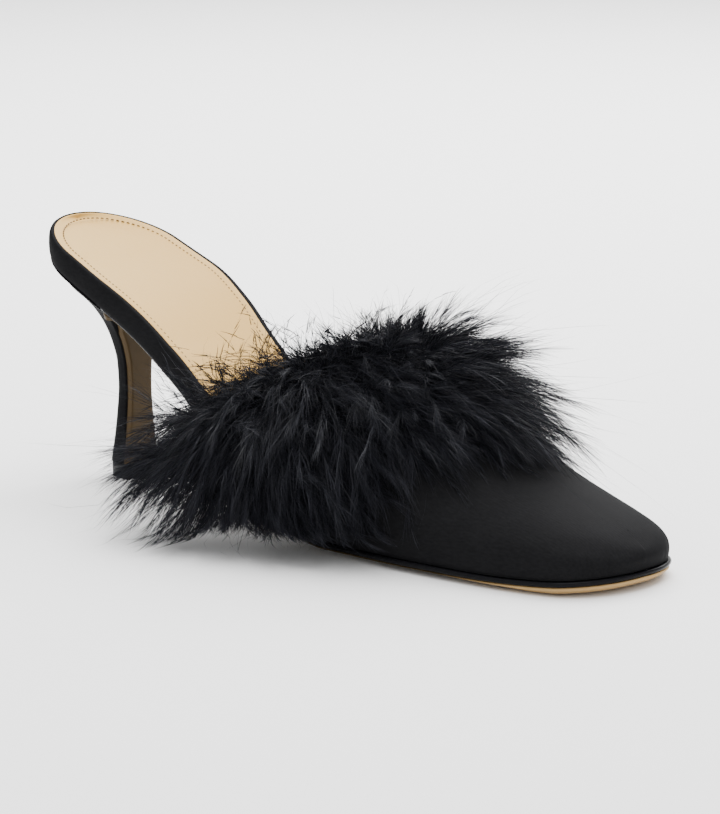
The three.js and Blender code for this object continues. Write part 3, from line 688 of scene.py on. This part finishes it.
class MuleSole(bpy.types.PropertyGroup):
    sock_color: FloatVectorProperty(
        name="Sock colour", description="Colour of the sock's leather", default=(0.56, 0.335, 0.09), **COLOR
    )
    sole_color: FloatVectorProperty(
        name="Sole colour", description="Colour of the leather outsole", default=(0.42, 0.27, 0.115), **COLOR
    )
    stitch: FloatProperty(
        name="Stitch length", description="Length of a stitch round the sock",
        default=0.0011, min=0.0008, max=0.004, **DISTANCE,
    )


class MuleFeathers(bpy.types.PropertyGroup):
    feather_color: FloatVectorProperty(
        name="Feather colour", description="Colour of the feathers", default=(0.0038, 0.004, 0.006), **COLOR
    )
    plumes: IntProperty(
        name="Feathers", description="Feathers round the throat", default=2700, min=200, max=3000
    )
    barbs: IntProperty(name="Barbs", description="Barbs on each feather", default=54, min=10, max=70)
    length: FloatProperty(
        name="Feather length", description="Length of the longest feathers",
        default=0.037, min=0.01, max=0.05, **DISTANCE,
    )
    seed: IntProperty(
        name="Seed", description="Another seed gives another lie of the feathers", default=7, min=0
    )


class MuleStage(bpy.types.PropertyGroup):
    floor_color: FloatVectorProperty(
        name="Floor colour", description="Colour of the studio floor", default=(0.9, 0.9, 0.9), **COLOR
    )
    lens: FloatProperty(
        name="Lens", description="Focal length of the camera", unit="CAMERA", default=192.0, min=50, max=400
    )
    key_power: FloatProperty(
        name="Key light", description="Power of the large soft light",
        unit="POWER", default=52.0, min=0, max=500,
    )


def throat_tape(wall, cloth):
    """Ribbon folded over the topline, to which the feathers are sewn."""
    way = np.linspace(0, 1, 121)
    turn = np.linspace(0, 2 * math.pi, 17)[:-1]
    point, forwards, outwards, _ = trim_frame(way, np.full(way.shape, TAPE_AT))
    middle = point - outwards * (wall / 2)
    along = (TAPE_HALF_WIDTH * np.cos(turn))[None, :, None]
    away = (wall / 2 + TAPE_THICK) * bent(np.sin(turn), 4)
    rings = middle[:, None] + forwards[:, None] * along + outwards[:, None] * away[None, :, None]
    loft("throat_tape", rings, cloth, capped=True, slot="satin")


class MULE_OT_vamp(bpy.types.Operator):
    """Satin vamp with its lining and the tape round its throat"""

    bl_idname = "mule.vamp"
    bl_label = "Vamp"

    def execute(self, context):
        props = context.scene.mule_vamp
        wall = props.wall / MM
        cloth = satin("vamp_satin", tuple(props.satin_color), props.gloss)
        lining = leather("lining_leather", (0.5, 0.38, 0.25), (0.42, 0.31, 0.2), 0.6, 900.0, 0.0001)
        # Points lie closer together towards the toe and towards the ridge
        columns, steps, to_toe, to_ridge = 110, 42, 1.35, 1.15
        along = 1 - (1 - np.linspace(0, 1, columns + 1)) ** to_toe
        up = 1 - (1 - np.linspace(0, 1, steps + 1)) ** to_ridge
        a, u = np.meshgrid(along, up, indexing="ij")
        skins = []
        for sink in (0.0, wall):
            outer, inner = [vamp_point(side, a, u, sink) for side in (-1.0, 1.0)]
            if not sink:
                outer, inner = creased(outer, a, u, -1), creased(inner, a, u, 1)
            skins.append(np.concatenate([outer, inner[::-1][1:]]))
        rows, width = skins[0].shape[:2]
        count = rows * width
        outside = grid_faces(rows, width)
        faces = [outside, outside[:, ::-1] + count]
        # The wall's edges: its foot, then the topline on either side
        for first, pace, length in ((0, width, rows), (0, 1, width), (count - width, 1, width)):
            j = first + np.arange(length - 1) * pace
            faces.append(np.stack([j, j + count, j + count + pace, j + pace], -1))
        points = np.concatenate([skin.reshape(-1, 3) for skin in skins])
        slots = np.repeat([0, 1, 0], [len(outside), len(outside), sum(map(len, faces[2:]))])
        faces = np.concatenate(faces)
        shell = piece("vamp", points, faces, [cloth, lining], slot="satin", stands_for=("upper",))
        shell.data.polygons.foreach_set("material_index", slots.astype(np.int32))
        weld(shell, 0.01)
        throat_tape(wall, cloth)
        return {"FINISHED"}


def hump(x, middle, width):
    return np.exp(-(((x - middle) / width) ** 2))


def creased(points, along, up, side):
    """Light lasting creases round the toe and a soft furrow where the satin turns down at the toe wall."""
    wave = np.sin((along * 61 + side * 1.3) * 2.1) * 0.5 + np.sin(along * 173 + side) * 0.3
    low = hump(up, 0.1, 0.12) * smooth(along, 0.5, 0.85)
    wall_line = hump(up, 0.43, 0.07) * smooth(along, 0.35, 0.7)
    slack = np.sin(along * 9 + up * 5 + side) * np.sin(up * 7 - along * 6) * SLACK * np.sin(up * math.pi)
    instep = np.array([150.0, 0.0, 0.0])
    away = unit((points - instep) * np.array([0.4, 1, 1]))
    depth = CREASE * wave * low - FURROW * wall_line + slack * smooth(along, 0, 0.2)
    return points + away * depth[..., None]


def outsole(tan):
    """The sole from the toe to the waist, round the fillet and down the heel's breast, as one skin."""
    across = np.linspace(0, 1, 13)
    bevel = np.linspace(0, 1, 6)[1:]
    bevel_curve = 1.1

    def ring(at):
        """A ring from at, which takes shares: across, of the bevel inwards and of its rise."""
        under = [at(s, 1, 0) for s in across]
        inner, outer = [[at(s, 1 - t, t**bevel_curve) for t in bevel] for s in (1, 0)]
        over = [at(s, 0, None) for s in across[::-1]]
        return np.stack([*under, *inner, *over, *outer[::-1]], -2)

    ways = even_ways(230, float(way_of(WAIST_START + OUTSOLE)))[::-1]
    x = outline(-1, ways)[:, 0]
    edge = towards_ball(x, WAIST_INSET + OUTSOLE_INSET, OUTSOLE_INSET + SOLE_SETBACK)
    skive, skive_rise = towards_toe(x, SIDE_BEVEL, TOE_BEVEL), towards_toe(x, SKIVED_RISE, EDGE_RISE)

    def sole_at(share, depth, climb):
        flat = lerp(inset(-1, ways, edge + skive * depth), inset(1, ways, edge + skive * depth), share)
        thick = OUTSOLE * (1 if climb is None else skive_rise * climb)
        return np.column_stack([flat, height_on(flat[:, 0], thick)])

    rings = [ring(sole_at)]
    waist = [float(inset(s, way_of(WAIST_START), WAIST_INSET + OUTSOLE_INSET)[1]) for s in (-1, 1)]

    def flap_rings(face, inward, edges):
        def at(share, depth, climb):
            low, high = edges[0] + depth * FLAP_BEVEL, edges[1] - depth * FLAP_BEVEL
            thick = OUTSOLE * (1 if climb is None else EDGE_RISE * climb)
            flat = face + inward * thick
            return np.column_stack([flat[:, 0], lerp(low, high, share), flat[:, 1]])

        return ring(at)

    def flap_edges(z):
        top = height_on(np.array(HEEL_FRONT), BOARD_LOW - GAP)
        up = np.clip((z - HEEL_FLOOR) / (top - HEEL_FLOOR), 0, 1)
        return [heel_section(s, np.zeros(np.shape(up)), up)[1] - s * FLAP_MARGIN for s in (-1, 1)]

    t = np.linspace(0, 1, 22)
    turn = lerp(HALF_PI - WAIST_TILT, math.pi, t)
    outward = np.column_stack([np.cos(turn), np.sin(turn)])
    face = np.array([NOSE, FILLET_Z]) + outward * FILLET
    ends = flap_edges(np.full(t.shape, FILLET_Z))
    narrowing = smooth(t, 0, 1)
    rings.append(flap_rings(face, outward, [lerp(waist[k], ends[k], narrowing) for k in (0, 1)]))
    z = np.linspace(FILLET_Z, HEEL_FLOOR, 30)[1:]
    face = np.column_stack([np.full(z.shape, BREAST), z])
    rings.append(flap_rings(face, np.array([-1.0, 0.0]), flap_edges(z)))
    skin = np.concatenate(rings)
    loft("outsole_leather", skin, tan, capped=True, slot="tan_leather", stands_for=("outsole",))


class MULE_OT_sole(bpy.types.Operator):
    """Leather outsole with its flap down the heel, and the black lip of the rand"""

    bl_idname = "mule.sole"
    bl_label = "Outsole and rand"

    def execute(self, context):
        color = tuple(context.scene.mule_sole.sole_color)
        # The sole's leather carries painted shade: it is darkened from behind the toe down to the heel's
        # breast, where the sole lies in shade, and only the toe keeps its full tan
        tan = leather(
            "sole_leather_with_painted_shade", color, toned(color, 0.8), 0.5, 700.0, 0.00012, painted_shade=(0.17, 0.2, 0.14)
        )
        outsole(tan)
        black = lacquer("lip_lacquer", (0.006, 0.006, 0.007), 0.22)
        ways = even_ways(220, float(way_of(NOSE + GAP)) + 0.001)
        rings = slab_rings(
            ways, lambda x: towards_ball(x, WAIST_INSET, LIP_INSET), fixed(RAND_LOW), fixed(RAND_TOP),
            fixed(LIP_EDGE), 2.0, fixed(0), fixed(0), across=5,
        )
        loft("rand_lip", rings, black, capped=True, slot="black_edge", stands_for=("rand",))
        return {"FINISHED"}


def sock_margin(x):
    """How far the sock's edge lies inside the board's: more at the waist than at the seat."""
    bare = lerp(SEAT_MARGIN, WAIST_MARGIN, smooth(x, 0, WAIST_MARGIN_AT))
    return towards_vamp(x, bare, BOARD_FIT + VAMP_MARGIN)


def sock_stitches(length, material):
    """A row of small stitches sunk in the sock, a few millimetres inside its edge."""
    ways = np.linspace(0.0, float(way_of(STITCH_END)), 1500)
    margin = np.full(ways.shape, SOCK_MARGIN + STITCH_INSET)
    outer, inner = [inset(side, ways, margin) for side in (-1, 1)]
    path = np.concatenate([outer[::-1], inner[1:]])
    steps = np.concatenate([[0], np.cumsum(np.linalg.norm(np.diff(path, axis=0), axis=1))])
    pitch = length * STITCH_PITCH
    t = np.linspace(0, 1, 5)
    turn = np.linspace(0, 2 * math.pi, 7)[:-1]
    girth = STITCH_GIRTH * np.sqrt(np.maximum(0.06, 1 - (2 * t - 1) ** 4))
    points, faces = [], []
    for start in np.arange(0, steps[-1] - pitch, pitch):
        at = start + t * length
        middle = np.column_stack([np.interp(at, steps, path[:, k]) for k in (0, 1)])
        along = unit(middle[-1] - middle[0])
        cross = np.array([-along[1], along[0]])
        z = height_on(middle[:, 0], board_top(middle[:, 0]) + SOCK_TOP)
        z = z - STITCH_DIVE * np.abs(2 * t - 1) ** 3 - (dish_at(middle[:, 0]) + SOCK_DISH) * 0.2
        ring = np.zeros((len(t), len(turn), 3))
        ring[..., :2] = middle[:, None] + cross * girth[:, None, None] * np.cos(turn)[:, None]
        ring[..., 2] = z[:, None] + girth[:, None] * np.sin(turn)
        faces.append(grid_faces(len(t), len(turn), around=True, offset=len(points) * t.size * turn.size))
        points.append(ring.reshape(-1, 3))
    piece("sock_stitches", np.concatenate(points), np.concatenate(faces), material)


class MULE_OT_insole(bpy.types.Operator):
    """Satin-wrapped insole board and the tan leather sock with its stitches"""

    bl_idname = "mule.insole"
    bl_label = "Insole"

    def execute(self, context):
        props = context.scene.mule_sole
        vamp = context.scene.mule_vamp
        cloth = satin("board_satin", tuple(vamp.satin_color), vamp.gloss + 0.04)
        ways = even_ways(240)
        rings = slab_rings(
            ways, lambda x: towards_vamp(x, 0, BOARD_FIT), fixed(BOARD_LOW),
            lambda x: board_top(x) + towards_vamp(x, RIM, 0),
            lambda x: towards_vamp(x, WRAP_EDGE, VAMP_WRAP_EDGE), 2.6,
            lambda x: dish_at(x) + towards_vamp(x, RIM, 0), fixed(0), arc=13,
        )
        loft("insole_wrap", rings, cloth, slot="satin", stands_for=("insole_board",))
        color = tuple(props.sock_color)
        tan = leather("sock_leather", color, toned(color, 0.93), 0.5, 1100.0, 0.00007)
        rings = slab_rings(
            ways, sock_margin, lambda x: board_top(x) + GAP - SOCK_OVER, lambda x: board_top(x) + SOCK_TOP,
            fixed(SOCK_EDGE), 2.2, lambda x: dish_at(x) + SOCK_DISH, dish_at, across=23,
        )
        loft("sock", rings, tan, slot="sock_leather", stands_for=("insole_sock",))
        sock_stitches(props.stitch / MM, thread("sock_thread", color))
        return {"FINISHED"}


def top_piece():
    """Wear piece, its edges a little rounded."""
    black = plastic("tip_plastic", (0.008, 0.008, 0.008), 0.5)
    rings = []
    for shrink, z in TIP_RINGS:
        ring = []
        for side, row in both_sides(np.linspace(0, 1, 30)):
            depth, y = tip_section(side, row, TIP_DEPTH - 2 * shrink, TIP_WIDTH - 2 * shrink)
            ring.append(np.column_stack([TIP_DEPTH / 2 - shrink - depth, y, np.full(y.shape, float(z))]))
        rings.append(np.concatenate(ring))
    rings = np.stack(rings)
    loft("heel_top_piece", rings, black, capped=True, slot="tip_plastic", stands_for=("top_piece",))


class MULE_OT_heel(bpy.types.Operator):
    """Satin-covered heel and the wear piece under it"""

    bl_idname = "mule.heel"
    bl_label = "Heel"

    def execute(self, context):
        vamp = context.scene.mule_vamp
        cloth = satin("heel_satin", tuple(vamp.satin_color), vamp.gloss)
        ups = np.linspace(0, 1, 90)
        front = heel_front(ups)
        columns = []
        for side, row in both_sides(np.linspace(0, 1, 34)):
            for step in row:
                depth, across = heel_section(side, np.full(ups.shape, step), ups)
                x = front - depth
                columns.append(np.column_stack([x, across, heel_height(x, ups)]))
        rings = np.stack(columns, 1)
        loft("heel_cover", rings, cloth, capped=True, slot="satin", stands_for=("heel",))
        top_piece()
        return {"FINISHED"}


def feather_bed(material):
    """Matted down close to the vamp, under the feathers."""
    corners, floor_gap = len(TRIM["reach"]), 4.0
    turn = np.linspace(0, corners, 61)[:-1]
    reach, lift = [
        np.interp(turn, range(corners + 1), (*TRIM[key], TRIM[key][0])) * share
        for key, share in (("reach", 0.8), ("loft", 0.62))
    ]
    way, k = np.meshgrid(np.linspace(0, 1, 150), np.arange(len(turn)), indexing="ij")
    rough = 0.07 * np.sin(way * 190 + k * 1.7) * np.sin(k * 0.9 + way * 47)
    rough = rough + 0.05 * np.sin(way * 333 + k * 4.1)
    above = lift[k] > 0
    point = trim_point(way, reach[k], lift[k] + rough * above)[0]
    point[..., 2] = np.maximum(point[..., 2], floor_gap)
    loft("feather_bed", point, material, capped=True, slot="feathers", stands_for=("marabou_trim",))


class MULE_OT_feathers(bpy.types.Operator):
    """Marabou feathers round the throat: a dense bed, feathers with their barbs, and loose wisps"""

    bl_idname = "mule.feathers"
    bl_label = "Feathers"

    def execute(self, context):
        props = context.scene.mule_feathers
        length = props.length / MM
        dye = down("feather_dye", tuple(props.feather_color))
        feather_bed(matted_down("feather_bed", tuple(props.feather_color)))
        rng = np.random.default_rng(props.seed)
        made = {}
        for name, (*aims, share) in LAYERS.items():
            made[f"feathers_{name}"] = plumes(rng, int(props.plumes * share), props.barbs, aims, length)
        made["feather_strays"] = plumes(rng, STRAYS, STRAY_BARBS, STRAY_AIM, length, stray=True)
        made["feather_wisps"] = wisps(rng, length)
        for name, (points, faces, shade) in made.items():
            piece(name, points, faces, dye, "feathers", shade=shade)
        return {"FINISHED"}


def plume_roots(rng, count, aims, length, ends=None):
    """Where each feather is sewn and how it lies: root, heading, the topline's run, length, droop and way.

    ends keeps them to the two ends of the topline, so far from either end."""
    way = np.clip(rng.uniform(-0.02, 1.02, count), 0, 1)
    if ends is not None:
        way = np.where(way < 0.5, ends, 1 - ends)
    aim = rng.uniform(*aims, count)
    roots, lofts, sizes, droop = [
        np.interp(aim, PLUMES["aim"], PLUMES[key]) for key in ("root", "loft", "length", "droop")
    ]
    reach = roots * rng.uniform(0.15, 1.15, count) + rng.uniform(-0.12, 0.12, count)
    lift = lofts * rng.uniform(0.1, 1.3, count)
    point, forwards, outwards, across = trim_point(way, reach, lift)
    turn = np.radians(aim + rng.normal(0, 9, count))
    heading = forwards * np.cos(turn)[:, None] + outwards * np.sin(turn)[:, None]
    heading = unit(heading + across * rng.normal(0, 0.26, count)[:, None])
    size = length * sizes * lerp(1, trim_back(way), smooth(aim, 50, 110)) * rng.uniform(0.6, 1.12, count)
    sag = droop * trim_hang(way) * rng.uniform(0.6, 1.4, count)
    return point, heading, across, size, sag, way


def eased(value, knee, room):
    """Value beyond the knee brought smoothly within the room past it; a negative room runs downwards."""
    past = np.maximum(0, (value - knee) / room)
    return np.where(past > 0, knee + room * np.tanh(past), value)


def kept_in_room(points):
    """Feathers give way at the edges of the room that they have round the shoe, and above the floor."""
    for axis, knee, room in ROOM:
        points[..., axis] = eased(points[..., axis], knee, room)
    knee, room = FLOOR_ROOM
    points[..., 2] = eased(points[..., 2], knee + SOLE_ROOM * smooth(points[..., 0], *SOLE_FROM), room)
    return points


def copies(count, pattern, size):
    """The faces of one small mesh of so many points, repeated for each copy of it."""
    return (np.arange(count)[:, None, None] * size + pattern[None]).reshape(-1, 3)


def strip_faces(steps):
    """Faces of a flat strip whose left edge's points come before its right edge's."""
    j = np.arange(steps - 1)
    k = j + steps
    return np.concatenate([np.stack([j, k, j + 1], -1), np.stack([k, k + 1, j + 1], -1)])


def plumes(rng, count, barbs, aims, length, stray=False):
    """Feathers as ribbons: a fine quill each, with soft barbs that leave it all round.

    Strays keep to the topline's ends, curl more and have fewer, shorter barbs."""
    ends = rng.uniform(*STRAY_ENDS, count) if stray else None
    root, heading, across, size, sag, _ = plume_roots(rng, count, aims, length, ends)
    bend = rng.normal(0, 0.16, (count, 1)) * across + rng.normal(0, 0.07, (count, 1)) * UP
    quill_half, barb_half, barb_length = QUILL, BARB, 1.0
    if stray:
        quill_half, barb_half, barb_length = STRAY_QUILL, STRAY_BARB, 0.45
        size = length * rng.uniform(0.34, 0.76, count)
        heading = unit(heading + UP * 0.3)
        sag, bend = sag * 0.6, bend * 3.0

    def quill(s):
        """Points and directions at each share s of the quills' lengths."""
        s = s[..., None]
        line = root[:, None] + heading[:, None] * (size[:, None, None] * s)
        line = line + bend[:, None] * (size[:, None, None] * s**2)
        line[..., 2] -= (sag * size)[:, None] * s[..., 0] ** 2
        slope = heading[:, None] + 2 * bend[:, None] * s
        slope[..., 2] -= 2 * sag[:, None] * s[..., 0]
        return line, unit(slope)

    # Barbs: four points each, the last one sharp
    s = np.sort(rng.uniform(0.06, 1.0, (count, barbs)), axis=1)
    base, slope = quill(s)
    side = unit(np.cross(slope, across[:, None] + 1e-3))
    other = np.cross(slope, side)
    spin = rng.uniform(0, 2 * math.pi, (count, barbs))
    radial = side * np.cos(spin)[..., None] + other * np.sin(spin)[..., None]
    splay = np.radians(lerp(34, 9, s) * rng.uniform(0.5, 1.4, s.shape))
    aim = slope * np.cos(splay)[..., None] + radial * np.sin(splay)[..., None]
    reach = (0.5 * size[:, None] + 3.0) * lerp(1.0, 0.62, s) * rng.uniform(0.5, 1.25, s.shape) * barb_length
    curl = unit(rng.normal(0, 1, (count, barbs, 3)))
    steps = np.array([0, 0.36, 0.7, 1.0])
    t = steps[None, None, :, None]
    line = base[..., None, :] + reach[..., None, None] * (
        aim[..., None, :] * t + (slope - aim)[..., None, :] * 0.4 * t**2 + curl[..., None, :] * 0.13 * t**2
    )
    line[..., 2] -= (reach * 0.1 * (1 + sag[:, None]))[..., None] * steps**2
    line = kept_in_room(line)
    half = barb_half * np.array([1.0, 0.85, 0.5])
    width = unit(np.cross(aim, curl))[..., None, :] * half[None, None, :, None]
    left, right = line[..., :3, :] - width, line[..., :3, :] + width
    seven = np.concatenate([left, right, line[..., 3:, :]], axis=-2).reshape(-1, 7, 3)
    faces = copies(len(seven), np.array([[0, 3, 1], [3, 4, 1], [1, 4, 2], [4, 5, 2], [2, 5, 6]]), 7)
    tone = np.clip(rng.normal(0.45, 0.2, (count, 1)) + lerp(-0.1, 0.2, s), 0, 1)
    shade = np.repeat(tone.reshape(-1), 7)

    # Quills: a flat strip each, which narrows towards its end
    at = np.linspace(0, 1, 8)
    spine, slope = quill(np.broadcast_to(at, (count, 8)))
    spine = kept_in_room(spine)
    wide = unit(np.cross(slope, across[:, None])) * (quill_half * (1 - at * 0.85))[None, :, None]
    strips = np.concatenate([spine - wide, spine + wide], axis=1)
    stems = copies(count, strip_faces(8), 16) + seven.shape[0] * 7
    points = np.concatenate([seven.reshape(-1, 3), strips.reshape(-1, 3)])
    return points, np.concatenate([faces, stems]), np.concatenate([shade, np.full(count * 16, 0.3)])


def wisps(rng, length):
    """Single long hairs of down that stand clear of the rest."""
    root, heading, across, size, sag, way = plume_roots(rng, WISPS, WISP_AIM, length)
    size = size * rng.uniform(1.05, 1.5, WISPS)
    curl = rng.normal(0, 0.3, (WISPS, 3))
    steps = np.linspace(0, 1, 7)
    t = steps[None, :, None]
    line = root[:, None] + size[:, None, None] * (heading[:, None] * t + curl[:, None] * t**2)
    line[..., 2] -= (size * sag * 0.8)[:, None] * steps**2
    sway = np.sin(steps * 4 + way[:, None] * 60)[..., None] * size[:, None, None] * 0.04
    line = kept_in_room(line + across[:, None] * sway)
    wide = unit(np.cross(heading, curl))[:, None] * (WISP * (1 - 0.6 * steps[:-1]))[None, :, None]
    hairs = np.concatenate([line[:, :-1] - wide, line[:, :-1] + wide, line[:, -1:]], axis=1)
    faces = copies(WISPS, np.concatenate([strip_faces(6), [[5, 11, 12]]]), 13)
    return hairs.reshape(-1, 3), faces, np.repeat(rng.uniform(0.3, 0.9, WISPS), 13)


def studio_floor(context, color):
    material, tree, shader = new_material("studio_floor", color, 0.75, Specular_IOR_Level=0.0)
    grain = noise(tree, coordinates(tree), scale=60.0)
    uneven(tree, shader, grain, 0.75, less=0.05, more=0.05)
    reach = 6.0
    corners = [(-reach, -reach, 0), (reach, -reach, 0), (reach, reach, 0), (-reach, reach, 0)]
    mesh = bpy.data.meshes.new("studio_floor")
    mesh.from_pydata(corners, [], [(0, 1, 2, 3)])
    mesh.materials.append(material)
    floor = bpy.data.objects.new("studio_floor", mesh)
    context.scene.collection.objects.link(floor)


def studio_camera(context, lens):
    """The photograph's view: its turn, height and distance, aimed at the one shoe."""
    turn, lift, roll, distance = math.radians(45.45), math.radians(12.07), math.radians(-0.4), 1.344
    back = Vector((math.sin(turn) * math.cos(lift), -math.cos(turn) * math.cos(lift), math.sin(lift)))
    place = Vector((0.0928, -0.0054, 0.0288)) + back * distance
    aim = Vector((0.1026, 0.0029, 0.0365))
    data = bpy.data.cameras.new("studio_camera")
    data.lens, data.sensor_width = lens, 36.0
    data.clip_start, data.clip_end = 0.05, 30
    cam = bpy.data.objects.new("studio_camera", data)
    cam.rotation_mode = "QUATERNION"
    facing = (aim - place).to_track_quat("-Z", "Y").to_matrix().to_4x4()
    cam.matrix_world = Matrix.Translation(place) @ facing @ Matrix.Rotation(roll, 4, "Z")
    context.scene.collection.objects.link(cam)
    context.scene.camera = cam


class MULE_OT_stage(bpy.types.Operator):
    """Pale floor, soft studio light and the camera"""

    bl_idname = "mule.stage"
    bl_label = "Stage"

    def execute(self, context):
        props = context.scene.mule_stage
        studio_floor(context, tuple(props.floor_color))
        world = bpy.data.worlds.new("studio_world")
        world.use_nodes = True
        set_inputs(world.node_tree.nodes["Background"], Color=(1, 1, 1, 1), Strength=1.3)
        context.scene.world = world
        centre = Vector((0.1, 0, 0.03))
        for name, place, size, watts in (
            ("key_light", (-0.25, 0.75, 1.0), 1.4, props.key_power),
            ("top_light", (0.3, -0.25, 1.5), 0.9, props.key_power * 0.3),
        ):
            light = bpy.data.lights.new(name, "AREA")
            light.shape, light.size, light.energy = "SQUARE", size, watts
            lamp = bpy.data.objects.new(name, light)
            lamp.location = place
            lamp.rotation_euler = (centre - Vector(place)).to_track_quat("-Z", "Y").to_euler()
            context.scene.collection.objects.link(lamp)
        studio_camera(context, props.lens)
        return {"FINISHED"}


STEPS = (MULE_OT_vamp, MULE_OT_sole, MULE_OT_insole, MULE_OT_heel, MULE_OT_feathers, MULE_OT_stage)
GROUPS = {
    "mule_vamp": MuleVamp, "mule_sole": MuleSole, "mule_feathers": MuleFeathers, "mule_stage": MuleStage,
}


class MULE_PT_panel(bpy.types.Panel):
    """The mule's pieces and their settings"""

    bl_idname = "MULE_PT_panel"
    bl_label = "Mule"
    bl_space_type = "VIEW_3D"
    bl_region_type = "UI"
    bl_category = "Mule"

    def draw(self, context):
        for attribute, group in GROUPS.items():
            box = self.layout.box()
            for name in group.__annotations__:
                box.prop(getattr(context.scene, attribute), name)
        for step in STEPS:
            self.layout.operator(step.bl_idname)


def register():
    for cls in (*GROUPS.values(), *STEPS, MULE_PT_panel):
        bpy.utils.register_class(cls)
    for attribute, group in GROUPS.items():
        setattr(bpy.types.Scene, attribute, PointerProperty(type=group))


def unregister():
    for attribute in GROUPS:
        delattr(bpy.types.Scene, attribute)
    for cls in reversed((*GROUPS.values(), *STEPS, MULE_PT_panel)):
        bpy.utils.unregister_class(cls)


def main():
    register()
    bpy.ops.mule.vamp()
    bpy.ops.mule.sole()
    bpy.ops.mule.insole()
    bpy.ops.mule.heel()
    bpy.ops.mule.feathers()
    bpy.ops.mule.stage()


if __name__ == "__main__":
    main()
